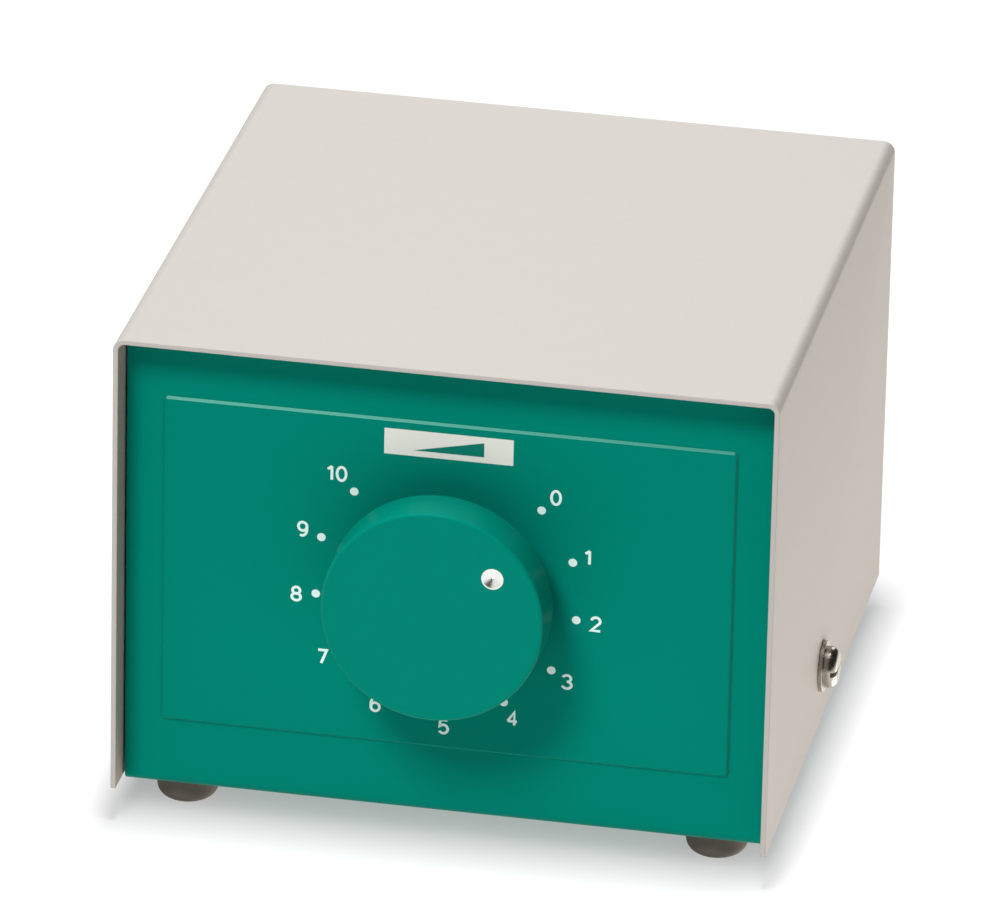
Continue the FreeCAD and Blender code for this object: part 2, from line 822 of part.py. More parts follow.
# Potentiometer: a flange with a threaded bushing clamps the front panel, the can closes it behind,
# and the shaft carries the wiper over a track whose tags come out below.
in_panel = {"y": panel_back, "z": dial_height, "facing": FRONT}
can_front = "(-pot_flange_sheet)"
track_back = f"({can_front} - track_sheet)"
shaft_bore = "(shaft_diameter / 2 + running_gap)"
bushing = Piece("pot_bushing", **in_panel)
bushing.turn("Z", [
    (shaft_bore, can_front),
    ("pot_flange / 2", can_front),
    ("pot_flange / 2", "0"),
    ("bush_diameter / 2", "0"),
    ("bush_diameter / 2", "bush_length"),
    (shaft_bore, "bush_length"),
])

can = Piece("pot_can", **in_panel)
can_back = f"({can_front} - pot_depth)"
can_inner = "(pot_diameter / 2 - pot_sheet)"
can.turn("Z", [
    ("0", can_back),
    ("pot_diameter / 2", can_back),
    ("pot_diameter / 2", can_front),
    (can_inner, can_front),
    (can_inner, f"{can_back} + pot_sheet"),
    ("0", f"{can_back} + pot_sheet"),
])
can.pocket(
    "XZ", "-pot_diameter / 2", f"-{can_inner} / 2",
    rect(
        "-track_tab_width / 2 - end_play", "track_tab_width / 2 + end_play",
        f"{track_back} - tag_sheet - end_play", can_front,
    ),
)

track = Piece("pot_track", **in_panel)
track.pad(
    "XY", track_back, can_front,
    disc("0", "0", f"2 * ({can_inner} - end_play)"), disc("0", "0", "track_bore"),
)
track.pad(
    "XY", track_back, can_front,
    rect(
        "-track_tab_width / 2", "track_tab_width / 2",
        "-pot_diameter / 2 - track_tab_reach", f"-{can_inner} / 2 - track_bore / 4",
    ),
)

tags = Piece("pot_tags", **in_panel)
tag_end = "(-pot_diameter / 2 - tag_reach)"
tags.pad(
    "XY", f"{track_back} - tag_sheet", track_back,
    rect(
        "-tag_pitch - tag_width / 2", "-tag_pitch + tag_width / 2",
        tag_end, f"-{can_inner} + tag_overlap",
    ),
)
tags.row("X", "2 * tag_pitch", "3")

shaft = Piece("pot_shaft", **in_panel)
shaft_low = f"({track_back} - wiper_lift - wiper_sheet - shaft_tail)"
collar_front = f"({can_front} - end_play)"
shaft_tip = f"({knob_roof} + chassis_sheet - end_play)"
shaft.turn("Z", [
    ("0", shaft_low),
    ("shaft_diameter / 2", shaft_low),
    ("shaft_diameter / 2", f"{collar_front} - shaft_collar_sheet"),
    ("shaft_collar / 2", f"{collar_front} - shaft_collar_sheet"),
    ("shaft_collar / 2", collar_front),
    ("shaft_diameter / 2", collar_front),
    ("shaft_diameter / 2", shaft_tip),
    ("0", shaft_tip),
])

wiper = Piece("pot_wiper", **in_panel, spin="-knob_rest")
wiper_front = f"({track_back} - wiper_lift)"
wiper.pad(
    "XY", f"{wiper_front} - wiper_sheet", wiper_front,
    disc("0", "0", "wiper_diameter"), disc("0", "0", "shaft_diameter + 2 * insert_fit"),
)
wiper.pad(
    "XY", wiper_front, f"{track_back} - end_play",
    rect(
        "-wiper_finger / 2", "wiper_finger / 2",
        "wiper_diameter / 2 - 2 * wiper_finger", "wiper_diameter / 2 - wiper_finger / 2",
    ),
)

on_panel = {"y": panel_front, "z": dial_height, "facing": FRONT}
bush_bore = "bush_diameter + 2 * thread_clearance"
pot_washer = Piece("pot_washer", **on_panel)
pot_washer.pad("XY", "0", "pot_washer_sheet", disc("0", "0", "pot_washer"), disc("0", "0", bush_bore))

pot_nut = Piece("pot_nut", **on_panel)
pot_nut.pad(
    "XY", "pot_washer_sheet", "pot_washer_sheet + pot_nut_height",
    hexagon("0", "0", "pot_nut_flats"), disc("0", "0", bush_bore),
)

# Mains inlet: a flanged moulding with a bevelled recess round three pins and a slot for the drawer.
at_inlet = {"x": "inlet_offset", "y": rear_face, "z": dial_height, "facing": REAR}
recess_low = "(inlet_recess_rise - inlet_recess_height / 2)"
recess_high = "(inlet_recess_rise + inlet_recess_height / 2)"
recess_half = "inlet_recess_width / 2"
recess_floor = "(inlet_flange_sheet - inlet_recess_depth)"
pin_places = [
    ("-pin_pitch / 2", "inlet_recess_rise - pin_stagger"),
    ("pin_pitch / 2", "inlet_recess_rise - pin_stagger"),
    ("0", "inlet_recess_rise + pin_stagger"),
]


def blade(x, y, room):
    """The section of one pin, with room round it."""
    half_width = f"(pin_width / 2 + {room})"
    half_height = f"(pin_height / 2 + {room})"
    return rect(f"{x} - {half_width}", f"{x} + {half_width}", f"{y} - {half_height}", f"{y} + {half_height}")


inlet = Piece("inlet_body", **at_inlet)
inlet.pad(
    "XY", "0", "inlet_flange_sheet",
    rect(
        "-inlet_flange_width / 2", "inlet_flange_width / 2",
        "-inlet_flange_height / 2", "inlet_flange_height / 2",
    ),
)
inlet.fillet("inlet_corner", lambda edge: along(edge, "z"))
inlet.pad(
    "XY", "-inlet_depth", "0",
    rect("-inlet_width / 2", "inlet_width / 2", "-inlet_height / 2", "inlet_height / 2"),
)
inlet.pocket("XY", recess_floor, "inlet_flange_sheet", [
    (f"-{recess_half}", recess_low),
    (recess_half, recess_low),
    (recess_half, f"{recess_high} - inlet_recess_bevel"),
    (f"{recess_half} - inlet_recess_bevel", recess_high),
    (f"-{recess_half} + inlet_recess_bevel", recess_high),
    (f"-{recess_half}", f"{recess_high} - inlet_recess_bevel"),
])
inlet.pocket("XY", "-inlet_depth", recess_floor, *[blade(x, y, "pin_fit") for x, y in pin_places])
drawer_back = "(inlet_flange_sheet - drawer_length)"
drawer_low = "(-drawer_drop - drawer_height / 2)"
drawer_high = "(-drawer_drop + drawer_height / 2)"
inlet.pocket(
    "XY", f"{drawer_back} - drawer_end_gap", "inlet_flange_sheet",
    rect(
        "-drawer_width / 2 - drawer_clearance", "drawer_width / 2 + drawer_clearance",
        f"{drawer_low} - drawer_clearance", f"{drawer_high} + drawer_clearance",
    ),
)
inlet.pocket(
    "XY", "0", "inlet_flange_sheet",
    disc("-inlet_screw_pitch / 2", "0", small_hole), disc("inlet_screw_pitch / 2", "0", small_hole),
)

pins = Piece("inlet_pins", **at_inlet)
pins.pad(
    "XY", "-inlet_depth - pin_tail", "inlet_flange_sheet - pin_setback",
    *[blade(x, y, "0") for x, y in pin_places],
)


def panel_screws(name, place, flange_sheet, x, y):
    """A screw from outside the rear panel, through a flange and the panel, into a nut."""
    made = Piece(name, **place)
    top = f"({flange_sheet} + small_head_height)"
    tip = "(-chassis_sheet - small_nut_height - thread_end)"
    made.pad("XY", flange_sheet, top, disc(x, y, "small_head"))
    made.pad("XY", tip, flange_sheet, disc(x, y, "small_screw"))
    made.pocket(
        "XY", f"{top} - small_slot_depth", top,
        rect(
            f"{x} - small_head", f"{x} + small_head",
            f"{y} - small_slot_width / 2", f"{y} + small_slot_width / 2",
        ),
    )
    return made


def panel_nuts(name, place, x, y):
    made = Piece(name, **place)
    made.pad(
        "XY", "-chassis_sheet - small_nut_height", "-chassis_sheet",
        hexagon(x, y, "small_nut_flats"), disc(x, y, small_bore),
    )
    return made


inlet_screws = panel_screws("inlet_screws", at_inlet, "inlet_flange_sheet", "-inlet_screw_pitch / 2", "0")
inlet_screws.row("X", "inlet_screw_pitch", "2")
inlet_nuts = panel_nuts("inlet_nuts", at_inlet, "-inlet_screw_pitch / 2", "0")
inlet_nuts.row("X", "inlet_screw_pitch", "2")

# Fuse drawer: a tray with two troughs, one for the fuse in use and one for the spare.
drawer = Piece("fuse_drawer", **at_inlet)
lip_back = "(inlet_flange_sheet + drawer_lip_gap)"
drawer.pad(
    "XY", drawer_back, lip_back, rect("-drawer_width / 2", "drawer_width / 2", drawer_low, drawer_high)
)
drawer.pad(
    "XY", lip_back, f"{lip_back} + drawer_lip_sheet",
    rect(
        "-drawer_lip_width / 2", "drawer_lip_width / 2",
        "-drawer_drop - drawer_lip_height / 2", "-drawer_drop + drawer_lip_height / 2",
    ),
)
fuse_z = f"({drawer_back} + fuse_set)"
fuse_floor = f"({drawer_high} - fuse_diameter - fuse_room)"
trough_half = "(fuse_diameter / 2 + fuse_room)"
trough = drawer.pocket(
    "YZ", "-fuse_length / 2 - fuse_room", "fuse_length / 2 + fuse_room",
    rect(fuse_floor, drawer_high, f"{fuse_z} - {trough_half}", f"{fuse_z} + {trough_half}"),
)
drawer.row("Z", "fuse_pitch", "2", trough)

fuses = Piece("fuse_links", **at_inlet)
fuses.pad(
    "YZ", "-fuse_length / 2", "fuse_length / 2",
    disc(f"{fuse_floor} + fuse_diameter / 2", fuse_z, "fuse_diameter"),
)
fuses.row("Z", "fuse_pitch", "2")

# Mains outlet: a square flange round a round recess with guide ribs, two contacts and earth clips.
at_outlet = {"x": "-outlet_offset", "y": rear_face, "z": dial_height, "facing": REAR}
outlet_floor = "(outlet_flange_sheet - outlet_recess_depth)"
contact_front = f"({outlet_floor} - socket_floor)"
contact_room = "contact_diameter + 2 * contact_fit"
clip_outer = "(outlet_recess / 2 - clip_wall_gap - clip_sheet / 2)"
clip_inner = f"({clip_outer} - clip_sheet)"
outlet_half = "outlet_flange / 2"
outlet = Piece("outlet_body", **at_outlet)
outlet.pad(
    "XY", "0", "outlet_flange_sheet",
    rect(f"-{outlet_half}", outlet_half, f"-{outlet_half}", outlet_half),
)
outlet.fillet("outlet_corner", lambda edge: along(edge, "z"))
outlet.pad("XY", "-outlet_depth", "0", disc("0", "0", "outlet_diameter"))
outlet.pocket("XY", outlet_floor, "outlet_flange_sheet", disc("0", "0", "outlet_recess"))
guide = outlet.pad(
    "XY", outlet_floor, "outlet_flange_sheet - outlet_rib_setback",
    rect(
        "outlet_recess / 2 - outlet_rib_reach", "outlet_diameter / 2 - outlet_rib_reach / 2",
        "-outlet_rib_width / 2", "outlet_rib_width / 2",
    ),
)
outlet.mirror("YZ", guide)
outlet.pocket(
    "XY", contact_front, outlet_floor,
    disc("-socket_pitch / 2", "0", "socket_hole"), disc("socket_pitch / 2", "0", "socket_hole"),
)
outlet.pocket(
    "XY", "-outlet_depth", contact_front,
    disc("-socket_pitch / 2", "0", contact_room), disc("socket_pitch / 2", "0", contact_room),
)
outlet.pocket(
    "XY", "-outlet_depth", outlet_floor,
    *[
        rect(
            "-clip_width / 2 - contact_fit", "clip_width / 2 + contact_fit",
            f"{side} * {clip_outer} - {clip_room}", f"{side} * {clip_outer} + {clip_room}",
        )
        for side in (1, -1) for clip_room in ("(clip_sheet + contact_fit)",)
    ],
)
outlet.pocket(
    "XY", "0", "outlet_flange_sheet",
    *[disc(f"{x}outlet_screw_pitch / 2", f"{y}outlet_screw_pitch / 2", small_hole)
      for x in ("", "-") for y in ("", "-")],
)

contacts = Piece("outlet_contacts", **at_outlet)
contact_back = "(-outlet_depth - contact_tail)"
contacts.pad("XY", contact_back, contact_front, disc("socket_pitch / 2", "0", "contact_diameter"))
contacts.pocket(
    "XY", f"{contact_back} + contact_end", contact_front,
    disc("socket_pitch / 2", "0", "contact_bore"),
)
contacts.mirror("YZ")

# Each earth clip is a strip that bulges into the recess and runs back through its floor.
clips = Piece("outlet_earth_clips", **at_outlet)
clip_mouth = "(outlet_flange_sheet - clip_mouth_set)"
clip_peak = "(outlet_flange_sheet - clip_bulge_set)"
clip_bend = "(outlet_flange_sheet - clip_bend_set)"
clip_back = "(-outlet_depth - clip_tail)"
clips.pad("YZ", "-clip_width / 2", "clip_width / 2", [
    (clip_inner, clip_back),
    (clip_outer, clip_back),
    (clip_outer, clip_bend),
    (f"{clip_outer} - clip_bulge", clip_peak),
    (clip_outer, clip_mouth),
    (clip_inner, clip_mouth),
    (f"{clip_inner} - clip_bulge", clip_peak),
    (clip_inner, clip_bend),
])
clips.mirror("XZ")

outlet_screws = panel_screws(
    "outlet_screws", at_outlet, "outlet_flange_sheet",
    "-outlet_screw_pitch / 2", "-outlet_screw_pitch / 2",
)
outlet_screws.grid("outlet_screw_pitch", "2", "outlet_screw_pitch", "2")
outlet_nuts = panel_nuts("outlet_nuts", at_outlet, "-outlet_screw_pitch / 2", "-outlet_screw_pitch / 2")
outlet_nuts.grid("outlet_screw_pitch", "2", "outlet_screw_pitch", "2")

# Control board on four standoffs, screwed from above and from below the base.
standoff_x = f"({board_left} + board_inset)"
standoff_y = f"({board_front} + board_inset)"
standoff_width = f"({board_right} - {board_left} - 2 * board_inset)"
standoff_depth = f"({board_rear} - {board_front} - 2 * board_inset)"
board = Piece("control_board", z=f"{base_top} + standoff_height")
board.pad("XY", "0", "board_sheet", rect(board_left, board_right, board_front, board_rear))
board.pocket("XY", "0", "board_sheet", *[
    disc(x, y, small_hole)
    for x in (standoff_x, f"{standoff_x} + {standoff_width}")
    for y in (standoff_y, f"{standoff_y} + {standoff_depth}")
])

standoffs = Piece("board_standoffs", x=standoff_x, y=standoff_y, z=base_top)
standoffs.pad(
    "XY", "0", "standoff_height", disc("0", "0", "standoff_diameter"), disc("0", "0", small_bore)
)
standoffs.grid(standoff_width, "2", standoff_depth, "2")

standoff_screws = Piece("standoff_screws", x=standoff_x, y=standoff_y, z="foot_height")
small_screw(standoff_screws, "0", "(chassis_sheet + board_screw_reach)")
standoff_screws.grid(standoff_width, "2", standoff_depth, "2")

board_screws = Piece("board_screws", x=standoff_x, y=standoff_y, z=board_top)
board_screws.pad("XY", "0", "small_head_height", disc("0", "0", "small_head"))
board_screws.pad("XY", "-board_sheet - board_screw_reach", "0", disc("0", "0", "small_screw"))
board_screws.pocket(
    "XY", "small_head_height - small_slot_depth", "small_head_height",
    rect("-small_head", "small_head", "-small_slot_width / 2", "small_slot_width / 2"),
)
board_screws.grid(standoff_width, "2", standoff_depth, "2")

# Heat sink: an extruded plate with a foot on the base and fins towards the case's side.
sink = Piece("heat_sink", x=sink_left, y=sink_front, z=base_top)
sink_face = "(sink_width - sink_plate)"
fin_low = "(sink_foot + sink_fin_space)"
triac_hole_z = "(standoff_height + board_sheet + triac_hole_rise)"
sink.pad("XZ", "0", "sink_length", [
    ("0", "0"),
    ("sink_width", "0"),
    ("sink_width", "sink_height"),
    (sink_face, "sink_height"),
    (sink_face, "sink_foot"),
    ("0", "sink_foot"),
])
fin = sink.pad("XZ", "0", "sink_length", rect("0", sink_face, fin_low, f"{fin_low} + sink_fin"))
sink.row("Z", f"sink_height - sink_fin - {fin_low}", "sink_fin_count", fin)
sink.pocket("XY", "0", "sink_foot", *[
    disc(f"{sink_face} / 2", y, small_bore) for y in ("sink_screw_inset", "sink_length - sink_screw_inset")
])
sink.pocket("YZ", sink_face, "sink_width", disc("sink_length / 2", triac_hole_z, small_bore))

sink_screws = Piece(
    "sink_screws", x=sink_screw_x, y=f"{sink_front} + sink_screw_inset", z="foot_height"
)
small_screw(sink_screws, "0", "(chassis_sheet + sink_foot)")
sink_screws.row("Y", "sink_length - 2 * sink_screw_inset", "2")

triac = Piece("triac", x=sink_right, y=f"{sink_front} + sink_length / 2", z=board_top)
triac_half = "triac_width / 2"
triac_top = "(triac_lead + triac_body)"
triac.pad(
    "YZ", "0", "triac_thickness", rect(f"-{triac_half}", triac_half, "triac_lead", triac_top)
)
triac.pad(
    "YZ", "0", "triac_tab_sheet",
    rect(f"-{triac_half}", triac_half, triac_top, f"{triac_top} + triac_tab"),
)
triac.pocket("YZ", "0", "triac_tab_sheet", disc("0", "triac_hole_rise", small_hole))
lead = triac.pad(
    "YZ", "triac_lead_set", "triac_lead_set + triac_lead_sheet",
    rect(
        "-triac_lead_pitch - triac_lead_width / 2", "-triac_lead_pitch + triac_lead_width / 2",
        "0", "triac_lead",
    ),
)
triac.row("Y", "2 * triac_lead_pitch", "3", lead)

triac_screw = Piece(
    "triac_screw", x=sink_right, y=f"{sink_front} + sink_length / 2", z=f"{board_top} + triac_hole_rise"
)
triac_screw.pad(
    "YZ", "triac_tab_sheet", "triac_tab_sheet + small_head_height", disc("0", "0", "small_head")
)
triac_screw.pad("YZ", "-sink_plate", "triac_tab_sheet", disc("0", "0", "small_screw"))
triac_screw.pocket(
    "YZ", "triac_tab_sheet + small_head_height - small_slot_depth", "triac_tab_sheet + small_head_height",
    rect("-small_head", "small_head", "-small_slot_width / 2", "small_slot_width / 2"),
)

# Choke: a ring core inside a winding that leaves part of the ring bare.
choke_y = f"({board_front} + choke_inset)"
at_choke = {"x": f"{board_right} - choke_inset", "y": choke_y, "z": board_top}
core_low = "(choke_winding + choke_winding_gap)"
core_high = f"({core_low} + choke_core_height)"
core = Piece("choke_core", **at_choke)
core.pad(
    "XY", core_low, core_high, disc("0", "0", "choke_core_diameter"), disc("0", "0", "choke_core_bore")
)

winding = Piece("choke_winding", **at_choke)
room_outer = "(choke_core_diameter / 2 + choke_winding_gap)"
room_inner = "(choke_core_bore / 2 - choke_winding_gap)"
room_high = f"({core_high} + choke_winding_gap)"
winding.turn("Z", [
    (f"{room_inner} - choke_winding", "0"),
    (f"{room_outer} + choke_winding", "0"),
    (f"{room_outer} + choke_winding", f"{room_high} + choke_winding"),
    (f"{room_inner} - choke_winding", f"{room_high} + choke_winding"),
], "360 - choke_open_angle")
hollow = winding.sketch("XZ", "0", [rect(room_inner, room_outer, "choke_winding", room_high)])
groove = winding.feature("Groove", Angle="360 - choke_open_angle")
groove.Profile = hollow
groove.ReferenceAxis = (winding.origin("Z_Axis"), [""])
winding.finish(groove)

# Small parts on the board: suppressor capacitor, timing capacitor and resistors.
suppressor_front = f"({choke_y} + {room_outer} + choke_winding + suppressor_gap)"
suppressor = Piece(
    "suppressor_capacitor", x=f"{board_right} - suppressor_inset", y=suppressor_front, z=board_top
)
suppressor.pad(
    "XY", "0", "suppressor_height",
    rect("-suppressor_width / 2", "suppressor_width / 2", "0", "suppressor_depth"),
)
suppressor.fillet(
    "suppressor_edge",
    lambda edge: along(edge, "z") or at(edge.CenterOfMass.z, "suppressor_height"),
)

timing_y = f"({board_front} + timing_set)"
timing = Piece("timing_capacitor", x=f"{board_left} + timing_inset", y=timing_y, z=board_top)
timing.pad(
    "XY", "0", "timing_height",
    rect("-timing_width / 2", "timing_width / 2", "-timing_depth / 2", "timing_depth / 2"),
)
timing.fillet("timing_edge", lambda edge: along(edge, "z") or at(edge.CenterOfMass.z, "timing_height"))

first_resistor = f"({timing_y} + timing_depth / 2 + resistor_gap + resistor_diameter / 2)"
resistors = Piece("resistors", x=f"{board_left} + resistor_inset", y=first_resistor, z=board_top)
resistor_z = "(resistor_lift + resistor_diameter / 2)"
resistors.pad(
    "YZ", "-resistor_length / 2", "resistor_length / 2", disc("0", resistor_z, "resistor_diameter")
)
resistors.pad(
    "YZ", "-resistor_lead_span / 2", "resistor_lead_span / 2", disc("0", resistor_z, "resistor_lead")
)
resistors.pad(
    "XY", "0", resistor_z,
    disc("-resistor_lead_span / 2", "0", "resistor_lead"),
    disc("resistor_lead_span / 2", "0", "resistor_lead"),
)
resistors.row("Y", "resistor_pitch * (resistor_count - 1)", "resistor_count")

# Terminal block: wire entries towards the rear, a clamp screw above each.
block_left = f"({board_left} + block_inset)"
block_rear = f"({board_rear} - block_edge)"
block_length = "(block_pole * block_poles)"
pole_row = "block_pole * (block_poles - 1)"
wire_hole = "wire_diameter + 2 * wire_fit"
clamp_low = "(block_height - block_screw_sunk - block_screw_height)"
block = Piece("terminal_block", x=block_left, y=block_rear, z=board_top)
block.pad("XY", "0", "block_height", rect("-block_wall", f"{block_length} + block_wall", "-block_depth", "0"))
entry = block.pocket(
    "XZ", "-block_entry_depth", "0", disc("block_pole / 2", "block_entry_rise", wire_hole)
)
well = block.pocket(
    "XY", clamp_low, "block_height",
    disc("block_pole / 2", "-block_screw_set", "block_screw + 2 * thread_clearance"),
)
block.row("X", pole_row, "block_poles", entry, well)

clamps = Piece("terminal_screws", x=block_left, y=block_rear, z=board_top)
clamps.pad(
    "XY", clamp_low, f"{clamp_low} + block_screw_height",
    disc("block_pole / 2", "-block_screw_set", "block_screw"),
)
clamps.pocket(
    "XY", f"{clamp_low} + block_screw_height - small_slot_depth", f"{clamp_low} + block_screw_height",
    rect(
        "block_pole / 2 - block_screw", "block_pole / 2 + block_screw",
        "-block_screw_set - small_slot_width / 2", "-block_screw_set + small_slot_width / 2",
    ),
)
clamps.row("X", pole_row, "block_poles")

# Earth point: a screw up through the base, two ring tags on it and a nut above them.
at_earth = {"y": earth_y, "z": base_top}
earth_screw = Piece("earth_screw", y=earth_y, z="foot_height")
screw(
    earth_screw, "0", "(chassis_sheet + earth_screw_reach)", "earth_screw", "earth_head",
    "earth_head_height", "cover_slot_width", "small_slot_depth",
)

earth_bore = "earth_screw + 2 * thread_clearance"
earth_tags = Piece("earth_tags", **at_earth)
neck_near = "(tag_ring / 2 - tag_plate / 2)"
barrel_near = "(max(tag_ring / 2; earth_nut_flats / sqrt(3)) + tag_plate)"
barrel_far = f"({barrel_near} + tag_barrel_length)"
barrel_half = "tag_barrel_width / 2"
for low, side in (("0", 1), ("tag_plate", -1)):
    tag_top = f"{low} + tag_plate"
    earth_tags.pad("XY", low, tag_top, disc("0", "0", "tag_ring"), disc("0", "0", earth_bore))
    for near, top in ((neck_near, tag_top), (barrel_near, f"{low} + tag_barrel_height")):
        left, right = sorted((f"{side} * {near}", f"{side} * {barrel_far}"), key=number)
        earth_tags.pad("XY", low, top, rect(left, right, f"-{barrel_half}", barrel_half))

earth_nut = Piece("earth_nut", **at_earth)
earth_nut.pad(
    "XY", "2 * tag_plate", "2 * tag_plate + earth_nut_height",
    hexagon("0", "0", "earth_nut_flats"), disc("0", "0", earth_bore),
)

# Inner wires: round, along straight runs joined by tangent arcs. An arc takes this share of the
# shorter run beside it.
ARC_SHARE = 0.45


def round_wire(points, diameter):
    """A solid wire of a diameter through points."""
    edges = []
    start = points[0]
    for before, corner, after in zip(points, points[1:], points[2:]):
        arriving = corner - before
        leaving = after - corner
        reach = ARC_SHARE * min(arriving.Length, leaving.Length)
        enter = corner - arriving.normalize() * reach
        leave = corner + leaving.normalize() * reach
        inward = (leaving - arriving).normalize()
        half_turn = arriving.getAngle(leaving) / 2
        radius = reach / math.tan(half_turn)
        depth = (radius ** 2 + reach ** 2) ** 0.5 - radius
        edges.append(Part.LineSegment(start, enter).toShape())
        edges.append(Part.Arc(enter, corner + inward * depth, leave).toShape())
        start = leave
    edges.append(Part.LineSegment(start, points[-1]).toShape())
    section = Part.Wire(Part.makeCircle(diameter / 2, points[0], points[1] - points[0]))
    return Part.Wire(edges).makePipeShell([section], True, True)


def add_wires(label, routes, diameter):
    """A sub-part of one or more wires, each along its own route."""
    made = doc.addObject("Part::Feature", label)
    made.Label = label
    wires = [round_wire([vector(*point) for point in route], number(diameter)) for route in routes]
    made.Shape = wires[0] if len(wires) == 1 else Part.makeCompound(wires)
    made.Placement = FreeCAD.Placement()
    sub_parts.append(made)


pin_back = f"({rear_face} - inlet_depth - pin_tail)"
contact_end_y = f"({rear_face} - outlet_depth - contact_tail)"
entry_z = f"({board_top} + block_entry_rise)"
entry_y = f"({block_rear} - block_entry_depth)"


def pole_x(index):
    return f"({block_left} + block_pole * ({index} + 0.5))"


def block_route(x, y, z, pole, forward):
    """From a rear connection forward, then down and into a pole of the terminal block."""
    return [
        (x, y, z),
        (x, f"{y} - {forward}", z),
        (pole_x(pole), f"{block_rear} + 11", entry_z),
        (pole_x(pole), entry_y, entry_z),
    ]


pin_z = f"({dial_height} + inlet_recess_rise - pin_stagger)"
live_x = "inlet_offset - pin_pitch / 2"
neutral_x = "inlet_offset + pin_pitch / 2"
add_wires("live_wire", [block_route(live_x, pin_back, pin_z, 4, 13)], "wire_diameter")
add_wires("neutral_wire", [block_route(neutral_x, pin_back, pin_z, 5, 13)], "wire_diameter")
add_wires("load_wires", [
    block_route("-outlet_offset - socket_pitch / 2", contact_end_y, dial_height, 0, 7),
    block_route("-outlet_offset + socket_pitch / 2", contact_end_y, dial_height, 1, 7),
], "wire_diameter")

earth_low = f"({base_top} + tag_barrel_height / 2)"
earth_pin_z = f"({dial_height} + inlet_recess_rise + pin_stagger)"
clip_wire_y = f"({rear_face} + {clip_back} + wire_diameter / 2)"
clip_wire_z = f"({dial_height} - {clip_outer})"
add_wires("earth_wires", [
    [
        ("inlet_offset", pin_back, earth_pin_z),
        ("inlet_offset", f"{pin_back} - 11", earth_pin_z),
        ("inlet_offset + 4", f"{pin_back} - 4", f"{earth_low} + 24"),
        ("inlet_offset - 8", earth_y, earth_low),
        (barrel_far, earth_y, earth_low),
    ],
    [
        ("-outlet_offset", clip_wire_y, clip_wire_z),
        ("-outlet_offset", clip_wire_y, f"{clip_wire_z} - 14"),
        ("-outlet_offset + 6", earth_y, f"{earth_low} + tag_plate"),
        (f"-{barrel_far}", earth_y, f"{earth_low} + tag_plate"),
    ],
], "wire_diameter")

lead_y = f"({panel_back} - {track_back} + tag_sheet / 2)"
lead_bend = f"({board_top} + 12)"
lead_foot = f"({board_front} + board_inset)"
add_wires("pot_leads", [
    [
        (x, lead_y, f"{dial_height} + {tag_end}"),
        (x, lead_y, lead_bend),
        (x, lead_foot, lead_bend),
        (x, lead_foot, board_top),
    ]
    for x in ("-tag_pitch", "0", "tag_pitch")
], "lead_wire")

# Every object is checked before any file is written.
doc.recompute()
for item in doc.Objects:
    if "Invalid" in item.State or "Error" in item.State:
        raise RuntimeError(f"{item.Label}: {item.State}")
for item in sub_parts:
    if item.Shape.isNull() or not item.Shape.isValid():
        raise RuntimeError(f"{item.Label}: its shape isn't valid")

os.makedirs("parts", exist_ok=True)
for item in sub_parts:
    item.Shape.exportStep(f"parts/{item.Label}.step")
print(f"{len(sub_parts)} sub-parts written")
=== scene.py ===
import math

import bmesh
import bpy
from mathutils import Matrix, Vector


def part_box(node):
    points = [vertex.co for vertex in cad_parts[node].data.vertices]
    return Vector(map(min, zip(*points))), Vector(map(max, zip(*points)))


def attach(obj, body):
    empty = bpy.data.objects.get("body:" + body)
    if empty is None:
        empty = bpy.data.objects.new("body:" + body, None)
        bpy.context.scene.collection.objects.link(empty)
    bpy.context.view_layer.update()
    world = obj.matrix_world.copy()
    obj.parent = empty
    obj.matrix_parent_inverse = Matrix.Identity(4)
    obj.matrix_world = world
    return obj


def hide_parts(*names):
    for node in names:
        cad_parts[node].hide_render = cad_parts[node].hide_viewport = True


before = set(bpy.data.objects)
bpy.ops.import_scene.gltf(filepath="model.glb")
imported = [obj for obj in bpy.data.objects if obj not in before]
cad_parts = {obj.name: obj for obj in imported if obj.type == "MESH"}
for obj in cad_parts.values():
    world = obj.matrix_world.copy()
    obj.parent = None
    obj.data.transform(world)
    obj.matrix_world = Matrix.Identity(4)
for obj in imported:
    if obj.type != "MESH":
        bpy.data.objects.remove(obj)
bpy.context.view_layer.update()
mm = 0.001


# Chassis: a tray of 1.25 mm sheet steel, folded up at the front as the panel and at the rear as the
# wall for the sockets. It is enamelled green and stoved after folding, so its edges are softly round.
def linear(code):
    """An sRGB hex code as linear red, green, blue and alpha."""
    parts = [int(code[place:place + 2], 16) / 255 for place in (1, 3, 5)]
    return [p / 12.92 if p <= 0.04045 else ((p + 0.055) / 1.055) ** 2.4 for p in parts] + [1]


def connect(tree, node, inputs):
    """Sets a node's inputs by name, with a link where the value is another node's output."""
    for name, value in inputs.items():
        socket = next(s for s in node.inputs if name in (s.identifier, s.name))
        if isinstance(value, bpy.types.NodeSocket):
            tree.links.new(value, socket)
        else:
            socket.default_value = value


def add_node(tree, kind, out, inputs, **settings):
    """Adds a node with its settings and links, and returns one of its outputs."""
    node = tree.nodes.new(kind)
    for name, value in settings.items():
        setattr(node, name, value)
    connect(tree, node, inputs)
    return next(s for s in node.outputs if out in (s.identifier, s.name))


def new_finish(name):
    """A new material: itself, its tree, its shader and the piece's own coordinates in metres."""
    finish = bpy.data.materials.new(name)
    finish.use_nodes = True
    tree = finish.node_tree
    where = add_node(tree, "ShaderNodeTexCoord", "Object", {})
    return finish, tree, tree.nodes["Principled BSDF"], where


def noise(tree, where, grain, detail, roughness=0.5):
    """A soft noise between 0 and 1, with spots about a grain wide."""
    return add_node(tree, "ShaderNodeTexNoise", "Fac", {
        "Vector": where, "Scale": 1 / grain, "Detail": detail, "Roughness": roughness,
    })


